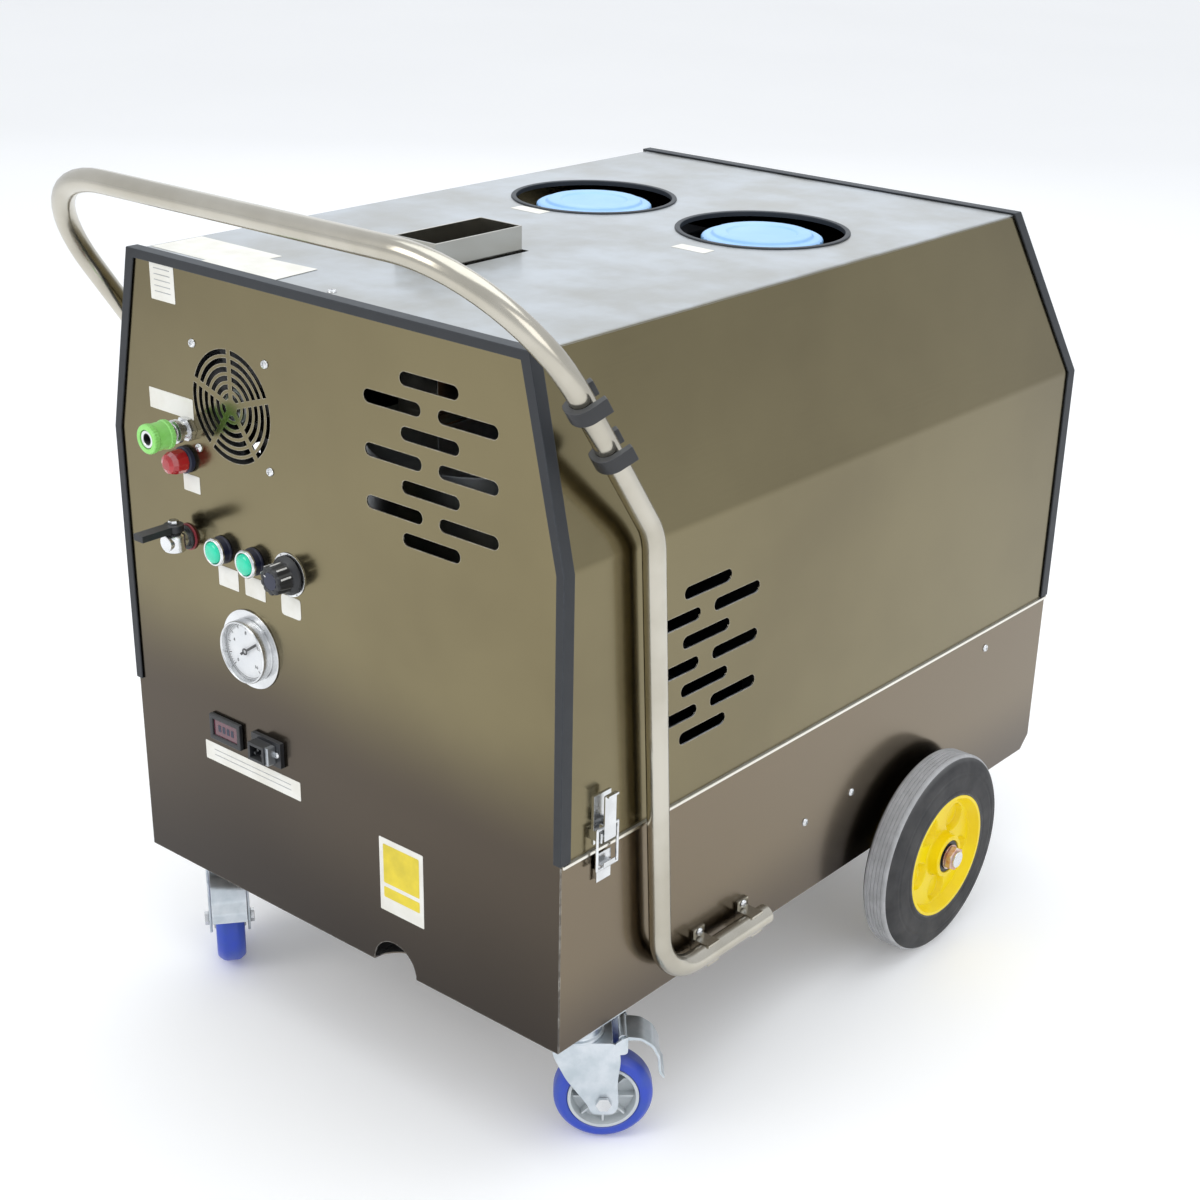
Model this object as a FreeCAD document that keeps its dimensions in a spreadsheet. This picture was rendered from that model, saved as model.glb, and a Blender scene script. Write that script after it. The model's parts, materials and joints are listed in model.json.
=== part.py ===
import FreeCAD, Part
import Sketcher
import math
import os
from types import SimpleNamespace

# Steam cleaner on two rear wheels and two front casters.
# Millimetres, +Z up, the panel with the controls faces -Y. Sizes along Y are
# written from the middle of the cabinet and moved by `mid` when a sub-part is
# finished, so that the origin is on the floor under the middle of the whole.

doc = FreeCAD.newDocument("SteamCleaner")

SIZES = {
    # cabinet
    "body_wid": 606, "body_len": 890, "top_wid": 523, "tray_low": 146, "seam": 351,
    "shoulder": 633, "top": 820, "top_back": 91, "sheet_t": 1.5, "slip": 0.3,
    "lip_out": 3, "lip_high": 3, "rear_cut": 16, "panel_gap": 1,
    "trim_over": 2.5, "trim_in": 7, "trim_back": 12, "trim_front": 2.5,
    # louvres and grille
    "slot_len": 72, "slot_high": 13, "slot_col": 46.5, "slot_row": 50,
    "louvre_x": 145, "louvre_z": 693, "side_louvre_y": -240, "side_louvre_z": 492,
    "fan_x": -122.5, "fan_z": 691, "fan_pitch": 105, "fan_side": 120, "fan_deep": 38,
    "ring_out": 56, "ring_pitch": 8.5, "ring_wide": 5, "spoke_wide": 6,
    # openings in the top
    "filler_x": 116, "filler_y": 76, "filler_r": 89, "filler_edge": 2.5,
    "collar_x": -21, "collar_y": -236, "collar_wid": 56, "collar_len": 120,
    "collar_gap": 5, "collar_high": 25,
    "notch_x": 83, "notch_r": 30,
    # push handle
    "tube_d": 22, "tube_wall": 1.5, "handle_gap": 17, "reach": 79, "bar_z": 905,
    "bend_y": 99, "bend_z": 650, "foot_y": 133, "foot_z": 169, "foot_end": 307,
    "corner_r": 134, "bend_r": 60, "saddle_thick": 14, "clip_thick": 6, "clip_wide": 16, "clip_prong": 6,
    # rear wheels
    "axle_r": 10, "axle_back": 270, "wheel_r": 120, "wheel_wide": 44, "wheel_gap": 8,
    "disc_r": 74, "nut_r": 15, "nut_wide": 12, "bracket_in": 23,
    # casters
    "caster_in": 37, "caster_back": 69, "caster_r": 50, "caster_wide": 32, "caster_lead": 28,
    "tread_thick": 14, "plate_side": 70, "plate_thick": 4, "fork_wide": 46, "fork_t": 3,
    "bolt_r": 5, "crown_z": 118, "raceway_r": 28, "pedal_x": 46, "pedal_z": 124,
    "pedal_pin": 2,
    # draw latches
    "latch_back": 56, "latch_wide": 24, "pivot_x": 8, "pivot_z": 366, "throw": 8,
    "bail_len": 42, "wire_r": 1.6,
    # controls
    "button_x1": -148, "button_x2": -101, "lever_x": -201, "knob_x": -49.5, "row_z": 539,
    "hole_r": 11.2, "bezel_r": 14.5, "bezel_out": 14, "cap_out": 17, "cap_len": 9,
    "knob_r": 16, "knob_out": 26, "dial_r": 22.5, "valve_out": 18, "lever_len": 44,
    "gauge_x": -113, "gauge_z": 441, "gauge_r": 33, "flange_r": 42, "gauge_out": 14,
    "lamp_x": -196, "lamp_z": 622, "lamp_r": 14, "lamp_out": 26,
    "inlet_x": -188, "inlet_z": 656, "stem_r": 9, "sleeve_r": 15, "inlet_out": 52,
    "sleeve_len": 26, "bore_r": 5.5, "tail_r": 5,
    "meter_x": -159, "meter_z": 334, "meter_wid": 48, "meter_high": 29,
    "plug_x": -94, "plug_z": 335,
    # inside
    "boiler_x": 10, "boiler_y": -225, "boiler_r": 125, "boiler_low": 215, "boiler_high": 640,
    "coil_r": 92, "coil_pipe": 9, "coil_turns": 8, "rail_high": 25, "rail_x": 200,
    "shelf_z": 372, "tank_wid": 272, "tank_len": 190, "tank_top": 788, "neck_r": 56,
    "lid_r": 64, "lid_top": 819, "motor_r": 62, "motor_back": 127,
}


class Size:
    """A number that also carries the spreadsheet expression it comes from."""

    def __init__(self, value, text):
        self.value = value
        self.text = text

    def __add__(self, other):
        other = size(other)
        return Size(self.value + other.value, f"({self.text} + {other.text})")

    def __sub__(self, other):
        other = size(other)
        return Size(self.value - other.value, f"({self.text} - {other.text})")

    def __mul__(self, other):
        other = size(other)
        return Size(self.value * other.value, f"({self.text} * {other.text})")

    def __truediv__(self, other):
        other = size(other)
        return Size(self.value / other.value, f"({self.text} / {other.text})")

    def __neg__(self):
        return Size(-self.value, f"(-{self.text})")

    def __radd__(self, other):
        return size(other) + self

    def __rsub__(self, other):
        return size(other) - self

    def __rmul__(self, other):
        return size(other) * self


def size(thing):
    if isinstance(thing, Size):
        return thing
    return Size(float(thing), f"({float(thing)!r})")


def write_sheet():
    sheet = doc.addObject("Spreadsheet::Sheet", "Sizes")
    for row, (name, number) in enumerate(SIZES.items(), start=1):
        sheet.set(f"A{row}", name)
        sheet.set(f"B{row}", str(number))
        sheet.setAlias(f"B{row}", name)
    doc.recompute()
    return SimpleNamespace(**{name: Size(float(getattr(sheet, name)), f"Sizes.{name}") for name in SIZES})


p = write_sheet()

front = -p.body_len / 2
rear = p.body_len / 2
side = p.body_wid / 2
inner = side - p.sheet_t
back = front + p.sheet_t
slope = (p.body_wid - p.top_wid) / 2 / (p.top - p.shoulder)
mid = (p.reach + p.tube_d / 2 - p.trim_front) / 2
floor_z = p.tray_low + p.sheet_t
# places that follow the body's sides and ends
handle_x = side + p.handle_gap
wheel_in = side + p.wheel_gap
bracket_x = side - p.bracket_in
caster_x = side - p.caster_in
caster_y = front + p.caster_back
latch_y = front + p.latch_back
axle_y = rear - p.axle_back
motor_y = rear - p.motor_back

nodes = {}
home = {}
TURNS = {
    "x": FreeCAD.Rotation(FreeCAD.Vector(0, 1, 0), 90),
    "y": FreeCAD.Rotation(FreeCAD.Vector(1, 0, 0), -90),
    "z": FreeCAD.Rotation(),
}


def bind(thing, prop, amount):
    thing.setExpression(prop, size(amount).text)


def place(thing, x, y, z, turn=None):
    if turn is not None:
        thing.Placement = FreeCAD.Placement(FreeCAD.Vector(), turn)
    for prop, amount in (("x", x), ("y", y), ("z", z)):
        bind(thing, f"Placement.Base.{prop}", amount)
    home[thing.Name] = (x, y, z)
    return thing


def block(name, x, y, z):
    """A box between pairs of limits."""
    thing = doc.addObject("Part::Box", name)
    for prop, (low, high) in (("Length", x), ("Width", y), ("Height", z)):
        bind(thing, prop, size(high) - low)
    return place(thing, x[0], y[0], z[0])


def turned_block(name, x, y, z, centre, degrees):
    """A box given about a centre, then turned about Y."""
    thing = block(name, x, y, z)
    turn = math.radians(degrees)
    thing.Placement = FreeCAD.Placement(FreeCAD.Vector(), FreeCAD.Rotation(FreeCAD.Vector(0, 1, 0), degrees))
    corner_x, corner_z = size(x[0]), size(z[0])
    bind(thing, "Placement.Base.x", centre[0] + corner_x * math.cos(turn) + corner_z * math.sin(turn))
    bind(thing, "Placement.Base.y", size(y[0]) + centre[1])
    bind(thing, "Placement.Base.z", centre[2] - corner_x * math.sin(turn) + corner_z * math.cos(turn))
    return thing


def rod(name, radius, start, length, axis="z"):
    """A cylinder from its start point along an axis."""
    thing = doc.addObject("Part::Cylinder", name)
    bind(thing, "Radius", radius)
    bind(thing, "Height", length)
    return place(thing, *start, TURNS[axis])


def cone(name, radii, start, length, axis="z"):
    thing = doc.addObject("Part::Cone", name)
    bind(thing, "Radius1", radii[0])
    bind(thing, "Radius2", radii[1])
    bind(thing, "Height", length)
    return place(thing, *start, TURNS[axis])


def torus(name, ring, wire, centre, axis="z"):
    thing = doc.addObject("Part::Torus", name)
    bind(thing, "Radius1", ring)
    bind(thing, "Radius2", wire)
    return place(thing, *centre, TURNS[axis])


def fuse(name, *parts):
    thing = doc.addObject("Part::MultiFuse", name)
    thing.Shapes = list(parts)
    return thing


def cut(name, base, *tools):
    thing = doc.addObject("Part::Cut", name)
    thing.Base = base
    thing.Tool = tools[0] if len(tools) == 1 else fuse(name + "_tools", *tools)
    return thing


def common(name, first, second):
    thing = doc.addObject("Part::Common", name)
    thing.Base = first
    thing.Tool = second
    return thing


def group(name, parts):
    """Separate solids that share one node."""
    thing = doc.addObject("Part::Compound", name)
    thing.Links = list(parts)
    return thing


def pipe(name, outer, bore, start, length, axis="z"):
    return cut(name, rod(name + "_outer", outer, start, length, axis),
               rod(name + "_bore", bore, start, length, axis))


def node(label, thing, x=0, y=0, turn=0):
    """Finish a sub-part: name it and move it from the cabinet's middle to the frame."""
    thing.Label = label
    hx, hy, hz = home.get(thing.Name, (0, 0, 0))
    spot = FreeCAD.Rotation(FreeCAD.Vector(0, 0, 1), turn).multiply(thing.Placement.Rotation)
    thing.Placement = FreeCAD.Placement(FreeCAD.Vector(), spot)
    bind(thing, "Placement.Base.x", size(hx) + x)
    bind(thing, "Placement.Base.y", size(hy) + y + mid)
    bind(thing, "Placement.Base.z", hz)
    nodes[label] = thing


def body(name):
    return doc.addObject("PartDesign::Body", name)


def sketch(host, role, name, polygons=(), circles=(), slots=()):
    """A sketch on an origin plane; every corner, centre and radius is bound to the sheet."""
    thing = host.newObject("Sketcher::SketchObject", name)
    plane = next(f for f in host.Origin.OriginFeatures if f.Role == role)
    thing.AttachmentSupport = (plane, [""])
    thing.MapMode = "FlatFace"

    def pin(geometry, point, u, v):
        for kind, amount in (("DistanceX", size(u)), ("DistanceY", size(v))):
            index = thing.addConstraint(Sketcher.Constraint(kind, -1, 1, geometry, point, amount.value))
            bind(thing, f"Constraints[{index}]", amount)

    def vector(u, v):
        return FreeCAD.Vector(size(u).value, size(v).value, 0)

    for corners in polygons:
        first = thing.GeometryCount
        count = len(corners)
        for i, corner in enumerate(corners):
            following = corners[(i + 1) % count]
            thing.addGeometry(Part.LineSegment(vector(*corner), vector(*following)), False)
        for i in range(count):
            thing.addConstraint(Sketcher.Constraint("Coincident", first + i, 2, first + (i + 1) % count, 1))
        for i, corner in enumerate(corners):
            pin(first + i, 1, *corner)

    for u, v, radius in circles:
        ring = Part.Circle(vector(u, v), FreeCAD.Vector(0, 0, 1), size(radius).value)
        index = thing.addGeometry(ring, False)
        pin(index, 3, u, v)
        held = thing.addConstraint(Sketcher.Constraint("Radius", index, size(radius).value))
        bind(thing, f"Constraints[{held}]", radius)

    for u, v, length, high in slots:
        round_slot(thing, pin, vector, u, v, size(length), size(high))
    return thing


def round_slot(thing, pin, vector, u, v, length, high):
    """A slot with half-round ends, lying along the sketch's first axis."""
    radius = high / 2
    reach = length / 2 - radius
    first = thing.GeometryCount
    up = FreeCAD.Vector(0, 0, 1)
    right = Part.Circle(vector(u + reach, v), up, radius.value)
    left = Part.Circle(vector(u - reach, v), up, radius.value)
    thing.addGeometry(Part.ArcOfCircle(right, -math.pi / 2, math.pi / 2), False)
    thing.addGeometry(Part.LineSegment(vector(u + reach, v + radius), vector(u - reach, v + radius)), False)
    thing.addGeometry(Part.ArcOfCircle(left, math.pi / 2, math.pi * 3 / 2), False)
    thing.addGeometry(Part.LineSegment(vector(u - reach, v - radius), vector(u + reach, v - radius)), False)
    for i in range(4):
        thing.addConstraint(Sketcher.Constraint("Tangent", first + i, 2, first + (i + 1) % 4, 1))
    pin(first, 3, u + reach, v)
    pin(first + 2, 3, u - reach, v)
    held = thing.addConstraint(Sketcher.Constraint("Radius", first, radius.value))
    bind(thing, f"Constraints[{held}]", radius)
    thing.addConstraint(Sketcher.Constraint("Equal", first, first + 2))


def pad(host, profile, length, name, both=True):
    thing = host.newObject("PartDesign::Pad", name)
    thing.Profile = profile
    bind(thing, "Length", length)
    thing.SideType = "Symmetric" if both else "One side"
    return thing


def pocket(host, profile, name, length=None):
    """Cut both ways from the sketch: right through, or over a length centred on it."""
    thing = host.newObject("PartDesign::Pocket", name)
    thing.Profile = profile
    if length is None:
        thing.Type = "ThroughAll"
    else:
        bind(thing, "Length", length)
    thing.SideType = "Symmetric"
    return thing


def revolve(host, profile, name, role):
    thing = host.newObject("PartDesign::Revolution", name)
    thing.Profile = profile
    axis = next(f for f in host.Origin.OriginFeatures if f.Role == role)
    thing.ReferenceAxis = (axis, [""])
    thing.Angle = 360
    return thing


def row_of(host, feature, profile, axis, step, count, name):
    """Repeat a feature along one of its sketch's own axes, centred rows excepted."""
    thing = host.newObject("PartDesign::LinearPattern", name)
    thing.Originals = [feature]
    thing.Direction = (profile, [axis])
    bind(thing, "Length", step * (count - 1))
    thing.Occurrences = count
    host.Tip = thing
    return thing


def louvres(host, role, u, v):
    """Ten slots: a middle column of four with a column of three on each side."""
    low = v - p.slot_row * 1.5
    centre = sketch(host, role, host.Name + "_slot_mid", slots=[(u, low, p.slot_len, p.slot_high)])
    outer = sketch(host, role, host.Name + "_slot_side", slots=[
        (u + sign * p.slot_col, low + p.slot_row / 2, p.slot_len, p.slot_high) for sign in (-1, 1)])
    row_of(host, pocket(host, centre, host.Name + "_cut_mid"), centre, "V_Axis", p.slot_row, 4,
           host.Name + "_rows_mid")
    row_of(host, pocket(host, outer, host.Name + "_cut_side"), outer, "V_Axis", p.slot_row, 3,
           host.Name + "_rows_side")


def outline(grow, low):
    """The cabinet's front outline, grown by an amount: up one side, over and down the other."""
    half = side + grow
    half_top = p.top_wid / 2 + grow
    high = p.top + grow
    return [(-half, low), (-half, p.shoulder), (-half_top, high), (half_top, high), (half, p.shoulder),
            (half, low)]


def open_ring(outer_grow, inner_grow, low):
    """The strip between two outlines, open at the bottom."""
    return outline(size(outer_grow), low) + outline(size(inner_grow), low)[::-1]


def rear_line(extra):
    """Points of the rear face in side view, moved out by an amount."""
    return [(rear + extra, p.shoulder + extra * slope), (rear - p.top_back + extra, p.top + extra)]


def build_tray():
    tray = body("base_tray")
    outer = sketch(tray, "YZ_Plane", "tray_side", [[
        (back + p.slip, p.tray_low), (rear - p.rear_cut, p.tray_low), (rear, p.tray_low + p.rear_cut),
        (rear, p.seam - p.slip), (back + p.slip, p.seam - p.slip)]])
    pad(tray, outer, p.body_wid, "tray_block")
    hollow = sketch(tray, "YZ_Plane", "tray_hollow", [[
        (front - 1, floor_z), (rear - p.rear_cut, floor_z), (rear - p.sheet_t, floor_z + p.rear_cut),
        (rear - p.sheet_t, p.seam + 1), (front - 1, p.seam + 1)]])
    pocket(tray, hollow, "tray_inside", p.body_wid - p.sheet_t * 2)
    gap = sketch(tray, "XY_Plane", "tray_notch", circles=[(p.notch_x, front, p.notch_r)])
    pocket(tray, gap, "tray_notch_cut")
    lips = [block(f"tray_lip_{name}", (low, high), (back + p.slip, rear),
                  (p.seam - p.slip - p.lip_high, p.seam - p.slip))
            for name, low, high in (("left", -side - p.lip_out, -inner), ("right", inner, side + p.lip_out))]
    whole = fuse("tray_whole", tray, *lips)
    node("base_tray", cut("tray_drilled", whole, *shanks("tray", side_screws() + saddle_screws(), "x")))


def side_screws():
    """Screws along the tray's sides, as x, y, z and the way their heads face."""
    spots = ((axle_y - 224, p.tray_low + 90), (axle_y - 136, p.tray_low + 92),
             (rear - 136, p.seam - 27))
    return [(sign * side, y, z, sign) for sign in (-1, 1) for y, z in spots]


def saddle_screws():
    """One screw below and one above the handle's foot at each saddle, through the tray's side."""
    reach = p.tube_d / 2 + 6.2
    return [(sign * (side + p.slip), front + y, p.foot_z + dz * reach, sign)
            for sign in (-1, 1) for y in saddle_places() for dz in (-1, 1)]


def saddle_places():
    return (p.foot_end - 22, p.foot_y + p.bend_r + 18)


def shanks(name, screws, axis):
    """Clearance holes for the 5 mm shanks of screws that lie along X."""
    return [rod(f"{name}_hole_{i}", 2.6, (x - 20, y, z), 40, axis) for i, (x, y, z, _) in enumerate(screws)]


def build_frame():
    rail_top = floor_z + p.rail_high
    rails = [block(f"rail_{i}", (sign * p.rail_x - 15, sign * p.rail_x + 15), (back + 20, rear - 25),
                   (floor_z, rail_top)) for i, sign in enumerate((-1, 1))]
    crosses = [block(f"cross_{i}", (-p.rail_x, p.rail_x), (y - 15, y + 15), (floor_z, rail_top))
               for i, y in enumerate((p.boiler_y - 80, p.boiler_y + 80, motor_y - 50, motor_y + 50))]
    shelf = block("tank_shelf", (-p.tank_wid - 12, p.tank_wid + 12),
                  (p.filler_y - p.tank_len / 2 - 5, p.filler_y + p.tank_len / 2 + 5),
                  (p.shelf_z, p.shelf_z + 4))
    posts = [block(f"post_{i}{j}", (sx * p.rail_x - 10, sx * p.rail_x + 10), (y - 10, y + 10),
                   (rail_top, p.shelf_z))
             for i, sx in enumerate((-1, 1))
             for j, y in enumerate((p.filler_y - p.tank_len / 2 + 10, p.filler_y + p.tank_len / 2 - 10))]
    hangers = [block(f"hanger_{i}", (sign * bracket_x - 4, sign * bracket_x + 4),
                     (axle_y - 35, axle_y + 35), (p.wheel_r - 20, p.tray_low))
               for i, sign in enumerate((-1, 1))]
    feet = [block(f"hanger_foot_{i}", (sign * bracket_x - 18, sign * bracket_x + 18),
                  (axle_y - 35, axle_y + 35), (p.tray_low - 5, p.tray_low))
            for i, sign in enumerate((-1, 1))]
    bore = rod("hanger_bore", p.axle_r, (-side, axle_y, p.wheel_r), p.body_wid, "x")
    carriers = cut("hangers_bored", fuse("hangers_whole", *hangers, *feet), bore)
    inside = fuse("frame_inside", *rails, *crosses, shelf, *posts)
    node("base_frame", group("frame_whole", [inside, carriers]))


def build_front_panel():
    panel = body("front_panel_sheet")
    narrow = inner - p.panel_gap
    top_half = p.top_wid / 2 - p.sheet_t - p.panel_gap
    high = p.top - p.sheet_t - p.panel_gap
    corners = [(-side, p.tray_low), (side, p.tray_low), (side, p.seam - p.slip), (narrow, p.seam - p.slip),
               (narrow, p.shoulder), (top_half, high), (-top_half, high), (-narrow, p.shoulder),
               (-narrow, p.seam - p.slip), (-side, p.seam - p.slip)]
    pad(panel, sketch(panel, "XZ_Plane", "panel_face", [corners]), p.sheet_t, "panel_sheet", both=False)
    panel.Tip.Reversed = True
    louvres(panel, "XZ_Plane", p.louvre_x, p.louvre_z)
    round_holes = [(p.button_x1, p.row_z, p.hole_r), (p.button_x2, p.row_z, p.hole_r),
                   (p.lever_x, p.row_z, p.stem_r + p.slip), (p.knob_x, p.row_z, 5),
                   (p.gauge_x, p.gauge_z, p.gauge_r + p.slip), (p.lamp_x, p.lamp_z, p.hole_r),
                   (p.inlet_x, p.inlet_z, p.tail_r + p.slip), (p.notch_x, p.tray_low, p.notch_r)]
    round_holes += [(x, z, 2.6) for x, z in fan_screws()]
    slots = [rectangle(p.meter_x, p.meter_z, p.meter_wid - 6, p.meter_high - 6),
             rectangle(p.plug_x, p.plug_z, 30, 18)]
    pocket(panel, sketch(panel, "XZ_Plane", "panel_holes", slots, round_holes), "panel_holes_cut")
    spokes = fuse("grille_spokes", *grille_spokes())
    grille = cut("grille_open", group("grille_rings", grille_rings()), spokes)
    places = ((-narrow, p.sheet_t - narrow), (narrow - p.sheet_t, narrow))
    flanges = [block(f"panel_flange_{i}", place_x, (p.sheet_t, p.sheet_t + 12), (floor_z + 30, p.shoulder))
               for i, place_x in enumerate(places)]
    whole = cut("panel_whole", fuse("panel_with_flanges", panel, *flanges), grille)
    place(whole, 0, front, 0)
    node("front_panel", whole)


def rectangle(u, v, wide, high):
    u, v, wide, high = size(u), size(v), size(wide), size(high)
    return [(u - wide / 2, v - high / 2), (u + wide / 2, v - high / 2), (u + wide / 2, v + high / 2),
            (u - wide / 2, v + high / 2)]


def grille_rings():
    """Concentric openings in front of the fan."""
    start = (p.fan_x, -5, p.fan_z)
    radii = [p.ring_out - p.ring_pitch * i for i in range(6)]
    return [pipe(f"grille_ring_{i}", radius, radius - p.ring_wide, start, 20, "y")
            for i, radius in enumerate(radii)]


def grille_spokes():
    """Five webs that carry the rings, the first one pointing up."""
    return [turned_block(f"grille_spoke_{i}", (-p.spoke_wide / 2, p.spoke_wide / 2), (0, 22),
                         (0, p.ring_out + 2), (p.fan_x, -6, p.fan_z), 72 * i) for i in range(5)]


def fan_screws():
    half = p.fan_pitch / 2
    return [(p.fan_x + dx * half, p.fan_z + dz * half) for dx in (-1, 1) for dz in (-1, 1)]


def build_rear_panel():
    """A bent sheet inside the hood: upright to the shoulder, then leaning forward to the top."""
    sheet = body("rear_sheet")
    outer = [(rear, p.seam)] + rear_line(size(0))
    inside = [(y - p.sheet_t, z) for y, z in outer]
    pad(sheet, sketch(sheet, "YZ_Plane", "rear_side", [outer + inside[::-1]]), p.body_wid, "rear_pad")
    louvres_low = p.seam + 140
    for step in range(4):
        strip = sketch(sheet, "XZ_Plane", f"rear_slot_{step}",
                       slots=[(sign * 90, louvres_low + step * 30, 110, p.slot_high) for sign in (-1, 1)])
        cutter = sheet.newObject("PartDesign::Pocket", f"rear_slot_cut_{step}")
        cutter.Profile = strip
        cutter.Type = "ThroughAll"
        cutter.SideType = "Symmetric"
    face = body("rear_outline")
    inset = -(p.sheet_t + p.panel_gap)
    profile = sketch(face, "XZ_Plane", "rear_face", [outline(inset, p.seam)])
    pad(face, profile, p.body_len + 20, "rear_face_pad")
    node("rear_panel", common("rear_panel_whole", sheet, face))


def build_hood():
    hood = body("hood_sheet")
    ring = sketch(hood, "XZ_Plane", "hood_ring", [open_ring(0, -p.sheet_t, p.seam)])
    pad(hood, ring, p.body_len, "hood_wrap")
    slant = [(rear, p.shoulder), (rear + 5, p.shoulder), (rear + 5, p.top + 5),
             (rear - p.top_back - p.top_back / (p.top - p.shoulder) * 5, p.top + 5)]
    pocket(hood, sketch(hood, "YZ_Plane", "hood_slant", [slant]), "hood_slant_cut")
    louvres(hood, "YZ_Plane", p.side_louvre_y, p.side_louvre_z)
    wells = [(sign * p.filler_x, p.filler_y, p.filler_r) for sign in (-1, 1)]
    flue = rectangle(p.collar_x, p.collar_y, p.collar_wid + p.collar_gap * 2, p.collar_len + p.collar_gap * 2)
    pocket(hood, sketch(hood, "XY_Plane", "hood_openings", [flue], wells), "hood_openings_cut")
    node("hood_shell", hood)


def build_trims():
    """Rubber edging on the hood's front and rear rims: a leg outside the sheet and a lip round the end."""
    low = p.seam + p.slip
    for name, lip_side, leg_side in (
            ("hood_front_trim",
             [(front - p.trim_front, 0), (front - p.slip, 0), (front - p.slip, p.top + 9),
              (front - p.trim_front, p.top + 9)],
             [(front - p.slip, 0), (front + p.trim_back, 0), (front + p.trim_back, p.top + 9),
              (front - p.slip, p.top + 9)]),
            ("hood_rear_trim", rear_strip(p.trim_front, p.slip), rear_strip(p.slip, -p.trim_back))):
        pieces = []
        for part, profile, inset in (("lip", lip_side, -p.trim_in), ("leg", leg_side, size(0))):
            strip = body(f"{name}_{part}_side")
            pad(strip, sketch(strip, "YZ_Plane", f"{name}_{part}_profile", [profile]), p.body_wid + 40,
                f"{name}_{part}_pad")
            ring = body(f"{name}_{part}_ring")
            loop = sketch(ring, "XZ_Plane", f"{name}_{part}_outline", [open_ring(p.trim_over, inset, low)])
            pad(ring, loop, p.body_len + 40, f"{name}_{part}_ring_pad")
            pieces.append(common(f"{name}_{part}", strip, ring))
        node(name, fuse(name + "_whole", *pieces))


def rear_strip(outer, inside):
    """A strip along the rear face in side view, between two distances from it."""
    lean = p.top_back / (p.top - p.shoulder)
    high = p.top + 9
    over = p.top_back + lean * 9
    return [(rear + outer, 0), (rear + outer, p.shoulder), (rear + outer - over, high),
            (rear + inside - over, high), (rear + inside, p.shoulder), (rear + inside, 0)]


def build_filler_rings():
    """Rubber edging pressed on the rims of the two round openings."""
    rings = []
    for i, sign in enumerate((-1, 1)):
        centre = (sign * p.filler_x, p.filler_y)
        inside = p.filler_r - p.slip
        lower = pipe(f"ring_inner_{i}", inside, p.filler_r - p.filler_edge,
                     (*centre, p.top - p.sheet_t - 2), p.sheet_t + 4)
        upper = pipe(f"ring_upper_{i}", p.filler_r + 3, inside, (*centre, p.top), 2)
        rings.append(fuse(f"ring_{i}", lower, upper))
    node("filler_rings", group("filler_rings_pair", rings))


def build_collar():
    """The flue's duct: a rectangular sleeve from the boiler's smoke box out through the top."""
    half_x, half_y = p.collar_wid / 2, p.collar_len / 2
    span_x = (p.collar_x - half_x, p.collar_x + half_x)
    span_y = (p.collar_y - half_y, p.collar_y + half_y)
    low, high = p.boiler_high + 30, p.top + p.collar_high
    sleeve = block("collar_outer", span_x, span_y, (low, high))
    flange = block("collar_flange", (span_x[0] - 12, span_x[1] + 12), (span_y[0] - 12, span_y[1] + 12),
                   (low, low + 3))
    hollow = block("collar_hollow", (span_x[0] + p.sheet_t, span_x[1] - p.sheet_t),
                   (span_y[0] + p.sheet_t, span_y[1] - p.sheet_t), (low, high))
    node("exhaust_collar", cut("collar_whole", fuse("collar_solid", sleeve, flange), hollow))


def build_handle():
    """A bent tube: rearward foot, upright leg, leaning leg and crossbar, mirrored."""
    x, z_foot, z_bar = handle_x.value, p.foot_z.value, p.bar_z.value
    y0 = front.value
    half = [(x, y0 + p.foot_end.value, z_foot), (x, y0 + p.foot_y.value, z_foot),
            (x, y0 + p.bend_y.value, p.bend_z.value), (x, y0 - p.reach.value, z_bar)]
    corners = [FreeCAD.Vector(*c) for c in half]
    corners += [FreeCAD.Vector(-c.x, c.y, c.z) for c in reversed(corners)]
    radii = [p.bend_r.value, p.bend_r.value, p.corner_r.value]
    path = rounded_path(corners, radii + radii[::-1])
    outer = swept(path, corners, p.tube_d.value / 2)
    inside = swept(path, corners, p.tube_d.value / 2 - p.tube_wall.value)
    tube = doc.addObject("Part::Feature", "handle_bent_tube")
    tube.Shape = outer.cut(inside)
    node("handle_tube", tube)


def rounded_path(corners, radii):
    """Straight runs joined by tangent arcs."""
    edges = []
    start = corners[0]
    for i, radius in enumerate(radii, start=1):
        before = (corners[i - 1] - corners[i]).normalize()
        after = (corners[i + 1] - corners[i]).normalize()
        half_angle = before.getAngle(after) / 2
        trim = radius / math.tan(half_angle)
        first = corners[i] + before * trim
        last = corners[i] + after * trim
        bisector = (before + after).normalize()
        middle = corners[i] + bisector * (radius / math.sin(half_angle) - radius)
        edges.append(Part.LineSegment(start, first).toShape())
        edges.append(Part.Arc(first, middle, last).toShape())
        start = last
    edges.append(Part.LineSegment(start, corners[-1]).toShape())
    return Part.Wire(edges)


def swept(path, corners, radius):
    circle = Part.Circle(corners[0], corners[0] - corners[1], radius)
    return path.makePipeShell([Part.Wire([circle.toShape()])], True, False)


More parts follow.
